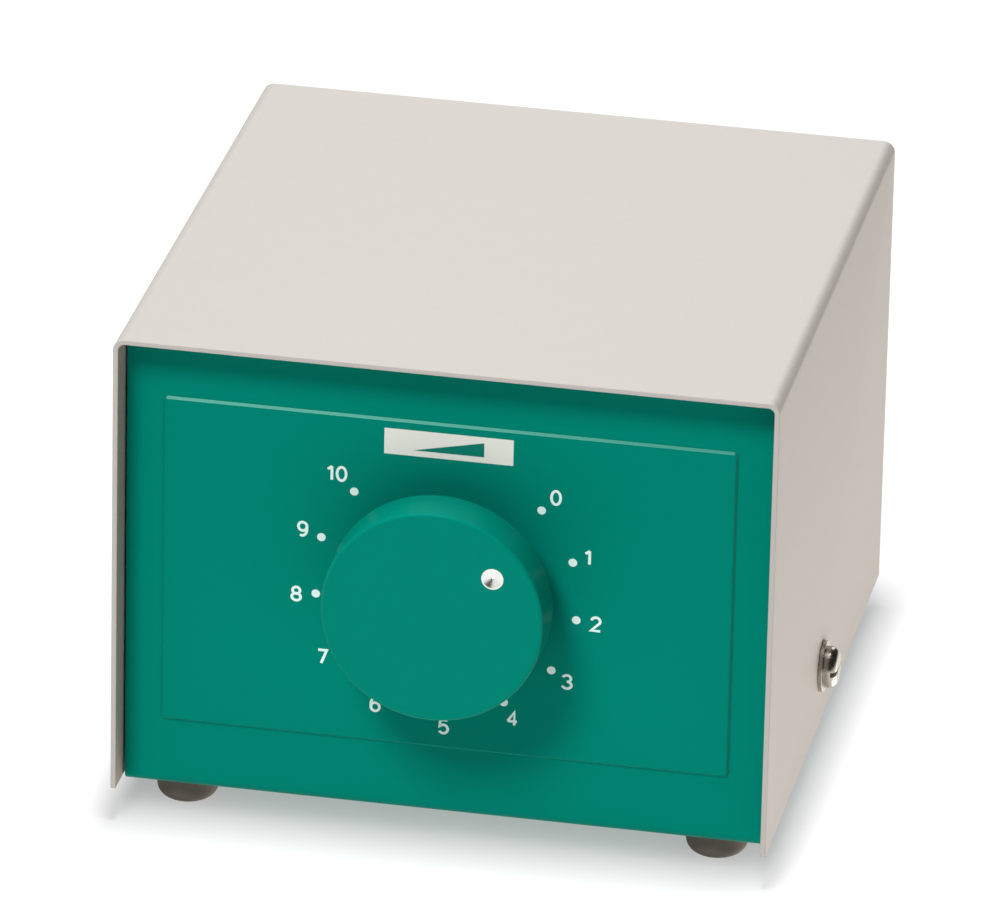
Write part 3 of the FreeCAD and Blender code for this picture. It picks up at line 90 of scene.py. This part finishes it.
def blend(tree, share, colours):
    """A colour between two hex codes, by the share that another node gives."""
    return add_node(tree, "ShaderNodeMix", "Result_Color", {
        "Factor_Float": share, "A_Color": linear(colours[0]), "B_Color": linear(colours[1]),
    }, data_type="RGBA")


def ranged(tree, share, low, high):
    """A value between two limits, by the share that another node gives."""
    return add_node(tree, "ShaderNodeMapRange", "Result", {"Value": share, "To Min": low, "To Max": high})


def coated(name, colours, grain, depth, roughness, specular):
    """A sprayed or moulded surface: two near tones in a fine grain, which also ripples the gloss."""
    finish, tree, shader, where = new_finish(name)
    fine = noise(tree, where, grain, detail=4, roughness=0.6)
    uneven = 0.05
    connect(tree, shader, {
        "Base Color": blend(tree, fine, colours),
        "Roughness": ranged(tree, fine, roughness - uneven, roughness + uneven),
        "Normal": add_node(tree, "ShaderNodeBump", "Normal", {
            "Height": fine, "Strength": 1, "Distance": depth,
        }),
        "Specular IOR Level": specular,
    })
    return finish


# Edges where the surface turns by more than this are cut edges.
cut_angle = math.radians(35)


def softened(name, edge, body, finish, short=0.03 * mm):
    """A copy of a CAD piece, which stands for it, with its cut edges rounded.

    Edges shorter than a given length go first, because they would hold the rounding back.
    """
    same_point = 0.001 * mm
    same_plane = math.radians(0.5)
    work = bmesh.new()
    work.from_mesh(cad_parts[name].data)
    bmesh.ops.remove_doubles(work, verts=work.verts, dist=same_point)
    bmesh.ops.dissolve_degenerate(work, dist=short, edges=work.edges)
    bmesh.ops.dissolve_limit(work, angle_limit=same_plane, verts=work.verts, edges=work.edges)
    mesh = bpy.data.meshes.new(name + "_soft")
    work.to_mesh(mesh)
    work.free()
    mesh.materials.clear()
    mesh.materials.append(finish)
    mesh.shade_smooth()
    mesh.set_sharp_from_angle(angle=cut_angle)
    piece = bpy.data.objects.new(name + "_soft", mesh)
    bpy.context.scene.collection.objects.link(piece)
    bevel = piece.modifiers.new("rounded edge", "BEVEL")
    bevel.width = edge
    bevel.segments = 2
    bevel.limit_method = "ANGLE"
    bevel.angle_limit = cut_angle
    bevel.use_clamp_overlap = True
    bevel.harden_normals = True
    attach(piece, body)
    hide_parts(name)
    return piece


def deep_green(name, grain, depth, roughness, specular):
    """The product's green, so strong that its gloss is tinted too and no white veil lies over it."""
    finish = coated(name, ("#007C6B", "#007E6D"), grain, depth, roughness, specular)
    shader = finish.node_tree.nodes["Principled BSDF"]
    connect(finish.node_tree, shader, {"Specular Tint": linear("#40E0C4")})
    return finish


# Stoved enamel flows before it sets: an even satin green with a faint ripple a millimetre or so wide.
enamel = deep_green("stoved enamel", grain=1.4 * mm, depth=0.004 * mm, roughness=0.42, specular=0.06)
chassis = softened("chassis", 0.25 * mm, "case", enamel)


# Feet: four turned-looking mouldings of soft rubber, each held by a screw from below and a nut inside.
# Rubber straight from the mould is matt, dark and slightly dusty.
def dress(finish, *names):
    """Gives CAD pieces, whose shape is right as it is, their material."""
    for name in names:
        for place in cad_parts[name].material_slots:
            place.material = finish


rubber = coated(
    "moulded rubber", ("#5C554C", "#675F55"), grain=0.9 * mm, depth=0.02 * mm, roughness=0.7, specular=0.3
)
dress(rubber, "foot_front_left", "foot_front_right", "foot_rear_left", "foot_rear_right")


def clouded_metal(name, colours, grain, smooth, rough):
    """A bare or plated metal: two near tones in soft clouds, which are smoother and rougher too."""
    finish, tree, shader, where = new_finish(name)
    cloud = noise(tree, where, grain, detail=3)
    connect(tree, shader, {
        "Base Color": blend(tree, cloud, colours), "Roughness": ranged(tree, cloud, smooth, rough),
        "Metallic": 1,
    })
    return finish


# Zinc plating is a bright grey that clouds a little with age.
zinc = clouded_metal("zinc-plated steel", ("#AEB0AE", "#C6C8C6"), grain=1.2 * mm, smooth=0.26, rough=0.4)
dress(
    zinc, "foot_screws", "foot_nuts", "cover_nuts", "pot_washer", "pot_nut", "pot_can", "inlet_nuts",
    "outlet_nuts", "standoff_screws", "board_screws", "sink_screws", "triac_screw", "terminal_screws",
    "earth_screw", "earth_nut", "earth_tags", "outlet_earth_clips", "inlet_pins", "pot_shaft",
    "knob_set_screw",
)


# Mains inlet and outlet: black moulded sockets screwed to the rear wall, with a fuse drawer that pulls
# out of the inlet. The tool's spark-eroded grain shows as a fine matt tooth.
nylon = coated(
    "glass-filled nylon", ("#141516", "#1B1C1D"), grain=0.5 * mm, depth=0.012 * mm, roughness=0.48,
    specular=0.4,
)
softened("inlet_body", 0.25 * mm, "case", nylon)
softened("outlet_body", 0.25 * mm, "case", nylon)
softened("fuse_drawer", 0.2 * mm, "drawer", nylon)
for name in ("inlet_screws", "outlet_screws"):
    softened(name, 0.3 * mm, "case", zinc)

# Turned and pressed brass, rubbed bright where plugs slide on it.
brass = clouded_metal("turned brass", ("#C9A45C", "#D9BB7C"), grain=0.8 * mm, smooth=0.2, rough=0.34)
dress(brass, "outlet_contacts", "pot_bushing", "pot_tags", "pot_wiper", "board_standoffs", "knob_insert")

# The fuse links are seen as pale clear glass, drawn with faint streaks.
glass, tree, shader, where = new_finish("fuse glass")
streak = noise(tree, where, grain=3 * mm, detail=2)
connect(tree, shader, {
    "Base Color": blend(tree, streak, ("#DCE6E2", "#EEF4F1")),
    "Roughness": 0.06,
    "Transmission Weight": 0.7,
})
dress(glass, "fuse_links")


# Control board: a glass-epoxy laminate on four pillars, with the switching device on an aluminium sink,
# a choke and a capacitor against interference, small parts and the terminal block for the wires. Grain
# and depth are in millimetres.
for name, colours, grain, depth, roughness, specular, pieces in (
    ("glass-epoxy laminate", ("#2B5E38", "#33693F"), 0.7, 0.006, 0.4, 0.45, ["control_board"]),
    ("phenolic laminate", ("#5E3E24", "#6B482B"), 0.7, 0.006, 0.45, 0.4, ["pot_track"]),
    ("epoxy moulding", ("#1C1C1E", "#242426"), 0.3, 0.008, 0.5, 0.4, ["triac"]),
    ("pressed iron powder", ("#55554F", "#5F5F58"), 0.6, 0.01, 0.55, 0.4, ["choke_core"]),
    ("yellow polyester case", ("#C9A227", "#D2AC32"), 0.6, 0.006, 0.4, 0.5,
     ["suppressor_capacitor", "timing_capacitor"]),
    ("resistor lacquer", ("#C2AE8C", "#CDBA99"), 0.5, 0.004, 0.35, 0.5, ["resistors"]),
    ("green polyamide", ("#2F7A46", "#35834D"), 0.4, 0.008, 0.45, 0.45, ["terminal_block"]),
):
    dress(coated(name, colours, grain * mm, depth * mm, roughness, specular), *pieces)

# Extruded aluminium keeps the fine lines of the die.
aluminium, tree, shader, where = new_finish("extruded aluminium")
lines = add_node(tree, "ShaderNodeTexWave", "Fac", {
    "Vector": where, "Scale": 1 / (2.5 * mm), "Distortion": 2, "Detail": 3,
}, bands_direction="X")
connect(tree, shader, {
    "Base Color": linear("#B9BCBF"), "Roughness": ranged(tree, lines, 0.3, 0.45), "Metallic": 1,
})
dress(aluminium, "heat_sink")

# Enamelled copper shows the turns of the winding as slanting bands.
copper, tree, shader, where = new_finish("enamelled copper wire")
turns = add_node(tree, "ShaderNodeTexWave", "Fac", {
    "Vector": where, "Scale": 1 / (6 * mm), "Distortion": 0.6, "Detail": 2,
}, bands_direction="DIAGONAL")
connect(tree, shader, {
    "Base Color": blend(tree, turns, ("#7A3F1D", "#B8692F")), "Roughness": 0.3, "Metallic": 1,
})
dress(copper, "choke_winding")


# Wires: stranded leads in coloured insulation, brown and blue for the mains, green and yellow for
# earth, grey for the control leads. Extruded vinyl has a soft even gloss.
for colours, names in (
    (("#5A3520", "#633B25"), ("live_wire", "load_wires")),
    (("#2A5FA5", "#3068B0"), ("neutral_wire",)),
    (("#8A8C8E", "#939597"), ("pot_leads",)),
    (("#5E9A2F", "#D2C53A"), ("earth_wires",)),
):
    vinyl = coated(
        "vinyl insulation " + names[0], colours, grain=2 * mm, depth=0.004 * mm, roughness=0.4, specular=0.45
    )
    dress(vinyl, *names)


# Front label: a 0.6 mm plastic sheet in the panel's green, cut with a small chamfer and stuck on.
# Its scale is screen printed in white: eleven dots round the knob and an upright figure at each.
sheet = deep_green("satin polycarbonate", grain=0.8 * mm, depth=0.002 * mm, roughness=0.4, specular=0.06)
label = softened("front_label", 0.02 * mm, "case", sheet, short=0.005 * mm)
label_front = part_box("front_label")[0].y

# The chamfer is cut clean, so it is glossy, and the upper one mirrors the key light as a pale line.
chamfer = 0.55 * mm
facing_front = 0.9
clean_cut = deep_green(
    "clean-cut polycarbonate", grain=0.8 * mm, depth=0.002 * mm, roughness=0.3, specular=0.5
)
connect(clean_cut.node_tree, clean_cut.node_tree.nodes["Principled BSDF"], {
    "Specular Tint": linear("#C0FFF2"),
})
label.data.materials.append(clean_cut)
work = bmesh.new()
work.from_mesh(label.data)
rim = [
    edge for edge in work.edges
    if edge.calc_face_angle(0) > cut_angle
    and max(corner.co.y for corner in edge.verts) < label_front + 0.1 * chamfer
]
bmesh.ops.bevel(work, geom=rim, offset=chamfer, segments=1, affect="EDGES", clamp_overlap=True)
for face in work.faces:
    face.material_index = 1 if abs(face.normal.y) < facing_front else 0
work.to_mesh(label.data)
work.free()


def screen_ink(name, colours, specular):
    """Ink pressed through a screen: a thin, even, matt film."""
    return coated(name, colours, grain=0.3 * mm, depth=0.002 * mm, roughness=0.5, specular=specular)


# White ink over green lets a little of the green through, so it reads as a very pale cool white.
ink = screen_ink("white screen ink", ("#D6EEE7", "#E0F4EE"), specular=0.2)
ink_depth = 0.04 * mm


def as_print(name, mesh):
    """A printed mesh, in its place, as a piece of the label that rides on the case."""
    piece = bpy.data.objects.new(name, mesh)
    bpy.context.scene.collection.objects.link(piece)
    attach(piece, "case")


def plain_mesh(holder, name):
    """The evaluated mesh of a node object, which is then removed."""
    bpy.context.view_layer.update()
    mesh = bpy.data.meshes.new_from_object(holder.evaluated_get(bpy.context.evaluated_depsgraph_get()))
    mesh.name = name
    bpy.data.objects.remove(holder)
    return mesh


# The dots stand on a ring round the dial, from 0 at the upper right clockwise to 10 at the upper left.
knob_low, knob_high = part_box("knob")
dial = Vector((0, label_front, (knob_low.z + knob_high.z) / 2))
marks = 11
first_angle = 45
step_angle = 27
dot_ring = 30 * mm
dot_radius = 0.98 * mm
dot_sides = 40
dots = bpy.data.node_groups.new("scale dots", "GeometryNodeTree")
dots.interface.new_socket("Geometry", in_out="OUTPUT", socket_type="NodeSocketGeometry")
sizes = {
    "Count": ("NodeSocketInt", marks), "Ring radius": ("NodeSocketFloat", dot_ring),
    "First angle": ("NodeSocketFloat", math.radians(first_angle)),
    "Step angle": ("NodeSocketFloat", math.radians(step_angle)),
    "Dot radius": ("NodeSocketFloat", dot_radius), "Ink depth": ("NodeSocketFloat", ink_depth),
    "Centre": ("NodeSocketVector", dial), "Ink": ("NodeSocketMaterial", ink),
}
for name, (kind, value) in sizes.items():
    dots.interface.new_socket(name, in_out="INPUT", socket_type=kind)
given = dots.nodes.new("NodeGroupInput").outputs
turn = add_node(dots, "ShaderNodeMath", "Value", {
    "Value": add_node(dots, "GeometryNodeInputIndex", "Index", {}), "Value_001": given["Step angle"],
    "Value_002": given["First angle"],
}, operation="MULTIPLY_ADD")
across = add_node(dots, "ShaderNodeMath", "Value", {"Value": turn}, operation="SINE")
upward = add_node(dots, "ShaderNodeMath", "Value", {"Value": turn}, operation="COSINE")
ray = add_node(dots, "ShaderNodeCombineXYZ", "Vector", {"X": across, "Z": upward})
place = add_node(dots, "ShaderNodeVectorMath", "Vector", {
    "Vector": ray, "Vector_001": add_node(dots, "ShaderNodeCombineXYZ", "Vector", {
        "X": given["Ring radius"], "Y": given["Ring radius"], "Z": given["Ring radius"],
    }), "Vector_002": given["Centre"],
}, operation="MULTIPLY_ADD")
spots = add_node(dots, "GeometryNodePoints", "Geometry", {"Count": given["Count"], "Position": place})
spot = add_node(dots, "GeometryNodeMeshCylinder", "Mesh", {
    "Vertices": dot_sides, "Radius": given["Dot radius"], "Depth": given["Ink depth"],
})
laid = add_node(dots, "GeometryNodeInstanceOnPoints", "Instances", {
    "Points": spots, "Instance": spot, "Rotation": (math.pi / 2, 0, 0),
})
solid = add_node(dots, "GeometryNodeRealizeInstances", "Geometry", {"Geometry": laid})
inked = add_node(dots, "GeometryNodeSetMaterial", "Geometry", {
    "Geometry": solid, "Material": given["Ink"],
})
dots.links.new(inked, dots.nodes.new("NodeGroupOutput").inputs["Geometry"])
holder = bpy.data.objects.new("scale_dots", bpy.data.meshes.new("scale_dots"))
bpy.context.scene.collection.objects.link(holder)
modifier = holder.modifiers.new("scale dots", "NODES")
modifier.node_group = dots
for socket in dots.interface.items_tree:
    if socket.in_out == "INPUT":
        modifier[socket.identifier] = sizes[socket.name][1]
as_print("scale_dots", plain_mesh(holder, "scale_dots_ink"))

# The figures stand upright beside their dots, on a ring a little higher than the dots'. They are plain
# strokes of one width, and where two strokes of a figure cross, the later one lies on the earlier.
stroke = 0.62 * mm
half_wide = 1.03 * mm
half_high = 1.63 * mm
pitch = 2 * half_wide - 0.6 * stroke
figure_ring = 34.5 * mm
figure_rise = 0.2 * mm
arc_steps = 24
layer_rise = 0.15 * ink_depth


def arc(middle, across, upward, start, end):
    """Points along part of an ellipse, in shares of a figure's half sizes, from one angle to another."""
    angles = [math.radians(start + (end - start) * step / arc_steps) for step in range(arc_steps + 1)]
    return [(middle[0] + across * math.cos(a), middle[1] + upward * math.sin(a)) for a in angles]


# The lines of each figure, in shares of its half width and half height.
figure_strokes = {
    "0": [arc((0, 0), 1, 1, 90, 450)],
    "1": [[(-0.5, -1), (-0.5, 1)], [(-1.4, 0.55), (-0.5, 1)]],
    "2": [arc((0, 0.42), 0.95, 0.58, 170, -25) + [(-1, -1), (1, -1)]],
    "3": [arc((-0.05, 0.52), 0.88, 0.48, 165, -90), arc((-0.05, -0.48), 1.02, 0.52, 90, -165)],
    "4": [[(0.45, -1), (0.45, 1), (-1, -0.42)], [(-1, -0.42), (1.05, -0.42)]],
    "5": [[(0.85, 1), (-0.65, 1), (-0.85, 0.02)] + arc((0, -0.36), 0.98, 0.64, 130, -150)],
    "6": [arc((0, -0.37), 0.95, 0.63, 0, 360), arc((0.08, 0.02), 1.03, 0.98, 205, 62)],
    "7": [[(-0.95, 1), (0.95, 1), (-0.25, -1)]],
    "8": [arc((0, 0.5), 0.82, 0.5, 0, 360), arc((0, -0.47), 0.98, 0.53, 0, 360)],
    "9": [arc((0, 0.37), 0.95, 0.63, 0, 360), arc((-0.08, -0.02), 1.03, 0.98, 25, -118)],
}


def lay_stroke(work, points, depth):
    """A band of ink along a line, with mitred corners, that stands a given depth off the label."""
    same_place = 0.01 * mm
    least_mitre = 0.4
    closed = (points[0] - points[-1]).length < same_place
    if closed:
        points = points[:-1]
    rows = []
    for place, point in enumerate(points):
        after = points[(place + 1) % len(points)]
        into = (point - points[place - 1]).normalized()
        onward = (after - point).normalized()
        if not closed and place == 0:
            into = onward
        if not closed and place == len(points) - 1:
            onward = into
        square = Vector((-into.y - onward.y, into.x + onward.x)).normalized()
        reach = min(stroke / 2 / max(square.dot(Vector((-into.y, into.x))), least_mitre), stroke)
        rows.append([
            work.verts.new((point.x + way * reach * square.x, dial.y - off, point.y + way * reach * square.y))
            for way, off in ((1, depth), (-1, depth), (-1, 0), (1, 0))
        ])
    for place in range(len(rows) if closed else len(rows) - 1):
        row = rows[place]
        beyond = rows[(place + 1) % len(rows)]
        for side in range(4):
            work.faces.new((row[side], row[side - 1], beyond[side - 1], beyond[side]))
    if not closed:
        work.faces.new(rows[0])
        work.faces.new(rows[-1][::-1])


work = bmesh.new()
for count in range(marks):
    angle = math.radians(first_angle + step_angle * count)
    digits = str(count)
    half_span = (len(digits) - 1) / 2 * pitch
    ring = figure_ring + half_span
    spot = dial + Vector((ring * math.sin(angle), 0, ring * math.cos(angle) + figure_rise))
    for place, digit in enumerate(digits):
        middle = spot.x + place * pitch - half_span
        for layer, line in enumerate(figure_strokes[digit]):
            points = [Vector((middle + x * half_wide, spot.z + z * half_high)) for x, z in line]
            lay_stroke(work, points, ink_depth + layer_rise * layer)
bmesh.ops.recalc_face_normals(work, faces=work.faces)
figures = bpy.data.meshes.new("scale_figures_ink")
work.to_mesh(figures)
work.free()
figures.materials.append(ink)
as_print("scale_figures", figures)

# A pale strip above the dial carries a plain rising wedge, the usual sign for an amount to set.
strip_middle = dial.z + 34.4 * mm
strip_wide = 29.2 * mm
strip_high = 6.2 * mm
wedge_wide = 16 * mm
wedge_high = 3.4 * mm
wedge_depth = 1.5 * ink_depth
strip_ink = screen_ink("strip ink", ("#DADBD3", "#E2E3DB"), specular=0.2)
green_ink = screen_ink("green screen ink", ("#007263", "#007666"), specular=0.1)


def lay_plate(name, outline, depth, finish):
    """A flat printed shape on the label: an outline in X and Z that stands a given depth off it."""
    work = bmesh.new()
    front = [work.verts.new((x, dial.y - depth, z)) for x, z in outline]
    back = [work.verts.new((x, dial.y, z)) for x, z in outline]
    work.faces.new(front)
    work.faces.new(back[::-1])
    for place in range(len(outline)):
        after = (place + 1) % len(outline)
        work.faces.new((front[after], front[place], back[place], back[after]))
    bmesh.ops.recalc_face_normals(work, faces=work.faces)
    mesh = bpy.data.meshes.new(name + "_ink")
    work.to_mesh(mesh)
    work.free()
    mesh.materials.append(finish)
    as_print(name, mesh)


left, right = -strip_wide / 2, strip_wide / 2
low, high = strip_middle - strip_high / 2, strip_middle + strip_high / 2
lay_plate("scale_strip", [(left, low), (right, low), (right, high), (left, high)], ink_depth, strip_ink)
left, right = -wedge_wide / 2, wedge_wide / 2
low, high = strip_middle - wedge_high / 2, strip_middle + wedge_high / 2
lay_plate("strip_wedge", [(left, low), (right, low), (right, high)], wedge_depth, green_ink)


# Knob: a moulded green cap on a brass bush, clamped to the shaft by a set screw. Its face is flat with
# a small rounded rim, and a bright turned stud pressed into the face shows the setting.
cap = deep_green("satin ABS", grain=0.5 * mm, depth=0.002 * mm, roughness=0.4, specular=0.1)
dress(cap, "knob")

# The stud's turned face draws each light out into a streak from the middle, with dark wedges between.
stud, tree, shader, where = new_finish("turned nickel")
stain = noise(tree, where, grain=1.5 * mm, detail=3)
connect(tree, shader, {
    "Base Color": blend(tree, stain, ("#DADAD6", "#ECECE8")),
    "Metallic": 1, "Roughness": 0.24, "Anisotropic": 0.75,
    "Tangent": add_node(tree, "ShaderNodeTangent", "Tangent", {}, direction_type="RADIAL", axis="Y"),
})
dress(stud, "knob_marker")


# Cover: one sheet of steel bent down over both sides, longer than the chassis at both ends. It is
# powder coated in a warm pale grey, whose fine baked grain breaks the light up evenly.
powder = coated(
    "powder coat", ("#B3AEA8", "#B8B3AD"), grain=4 * mm, depth=0.15 * mm, roughness=0.5, specular=0.25
)
cover = softened("cover", 0.25 * mm, "case", powder, short=0.08 * mm)

# Inside, a matt darker brown-grey is painted shade: it darkens the inner faces round the recess at the panel,
# which lie in shade, and dims the light they throw back onto the panel.
painted_recess_shade = coated(
    "brown-grey painted recess shade", ("#A89A92", "#AD9F97"), grain=0.8 * mm, depth=0.01 * mm, roughness=0.6, specular=0.2
)
cover.data.materials.append(painted_recess_shade)
cover_low, cover_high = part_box("cover")
facing_end = 0.5
# Faces that turn inward, and not towards the ends, take the painted shade.
for face in cover.data.polygons:
    outward = face.center - (cover_low + cover_high) / 2
    outward.y = 0
    if abs(face.normal.y) < facing_end and face.normal.dot(outward) < 0:
        face.material_index = 1


# Cover screws: one slotted screw with a washer low on each side, run into a nut on the chassis flange.
# The heads are plain steel gone dull, bright below from the bench and dark above from the room.
dull_steel = clouded_metal(
    "dull plated steel", ("#A39C90", "#B8B2A7"), grain=0.7 * mm, smooth=0.2, rough=0.34
)
softened("cover_screws", 0.12 * mm, "case", dull_steel)
softened("cover_washers", 0.1 * mm, "case", dull_steel)


# Bench: a light table of opal acrylic, lit from below, that runs out of the picture on all sides. It lets
# most of what falls on it through, and stays white right up to the soft shadow at the feet.
reach = 4
glow = 0.39
floor = bpy.data.meshes.new("floor")
floor.from_pydata(
    [(-reach, -reach, 0), (reach, -reach, 0), (reach, reach, 0), (-reach, reach, 0)], [], [(0, 1, 2, 3)]
)
acrylic, tree, shader, where = new_finish("opal acrylic")
haze = noise(tree, where, grain=40 * mm, detail=2)
connect(tree, shader, {
    "Base Color": blend(tree, haze, ("#949494", "#979797")), "Roughness": 0.6, "Specular IOR Level": 0.1,
    "Emission Color": linear("#FFFFFF"), "Emission Strength": glow,
})
floor.materials.append(acrylic)
bench = bpy.data.objects.new("bench", floor)
bpy.context.scene.collection.objects.link(bench)


# Light: a dim room, three lamps that fall on the bench alone and draw the case's short soft shadow there,
# and four soft boxes kept off the bench. The key stands high on the left in front, and the right side is
# lit from below, through the bench, so it darkens towards the fold.
room_light = 0.03
world = bpy.data.worlds.new("studio")
bpy.context.scene.world = world
world.use_nodes = True
connect(world.node_tree, world.node_tree.nodes["Background"], {
    "Color": linear("#FFFFFF"), "Strength": room_light,
})
bench_only = bpy.data.collections.new("bench only")
bench_only.objects.link(bench)
case_only = bpy.data.collections.new("case only")
for piece in (chassis, cover):
    case_only.objects.link(piece)
off_bench = bpy.data.collections.new("flagged off the bench")
off_bench.objects.link(bench)
off_bench.collection_objects[0].light_linking.link_state = "EXCLUDE"
aim = Vector((0, 0, 0.06))


def soft_box(name, place, wide, deep, power, colour="#FFFFFF"):
    """A rectangular lamp that points at the middle of the object."""
    data = bpy.data.lights.new(name, "AREA")
    data.shape = "RECTANGLE"
    data.size = wide
    data.size_y = deep
    data.energy = power
    data.color = linear(colour)[:3]
    light = bpy.data.objects.new(name, data)
    light.location = place
    light.rotation_euler = (aim - Vector(place)).to_track_quat("-Z", "Y").to_euler()
    bpy.context.scene.collection.objects.link(light)
    return light


for light in (
    soft_box("bench overhead", place=(0, -0.024, 2), wide=0.15, deep=0.32, power=56),
    soft_box("bench front", place=(0, -0.94, 1.45), wide=0.8, deep=2, power=42),
    soft_box("bench right", place=(0.94, 0.4, 1.45), wide=0.8, deep=2, power=15),
):
    light.light_linking.receiver_collection = bench_only
    light.light_linking.blocker_collection = case_only
for light in (
    soft_box("top", place=(-0.4, 0.05, 2.1), wide=1.2, deep=1.2, power=34),
    soft_box("key", place=(-0.555, -1.44, 1.93), wide=0.7, deep=0.7, power=47),
    soft_box("right from below", place=(1, 0.6, -0.9), wide=1.2, deep=1.2, power=14.8, colour="#FFF2E4"),
    soft_box("rear fill", place=(-0.1, 2.15, 0.9), wide=1.2, deep=1.2, power=12),
):
    light.light_linking.receiver_collection = off_bench
    light.light_linking.blocker_collection = off_bench

# A white card low on the left shows in the dish of the stud, and leaves one dark wedge there.
stud_only = bpy.data.collections.new("stud only")
stud_only.objects.link(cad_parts["knob_marker"])
card = soft_box("stud card", place=(-0.68, -1.38, 0.39), wide=1.24, deep=0.66, power=2.6)
card.light_linking.receiver_collection = stud_only
bpy.context.scene.view_settings.view_transform = "Standard"


# Camera: a long lens, well off to the right in front and above, which keeps the perspective flat. It is
# rolled by about a degree, as the picture was.
turn = 10.773
tilt = 24.186
roll = 1.263
camera_data = bpy.data.cameras.new("camera")
camera_data.sensor_fit = "HORIZONTAL"
camera_data.sensor_width = 36
camera_data.lens = 384.55
camera_data.clip_end = 20
camera = bpy.data.objects.new("camera", camera_data)
camera.matrix_world = (
    Matrix.Translation((0.4145, -2.1837, 1.0647))
    @ Matrix.Rotation(math.radians(turn), 4, "Z")
    @ Matrix.Rotation(math.radians(90 - tilt), 4, "X")
    @ Matrix.Rotation(math.radians(roll), 4, "Z")
)
bpy.context.scene.collection.objects.link(camera)
bpy.context.scene.camera = camera
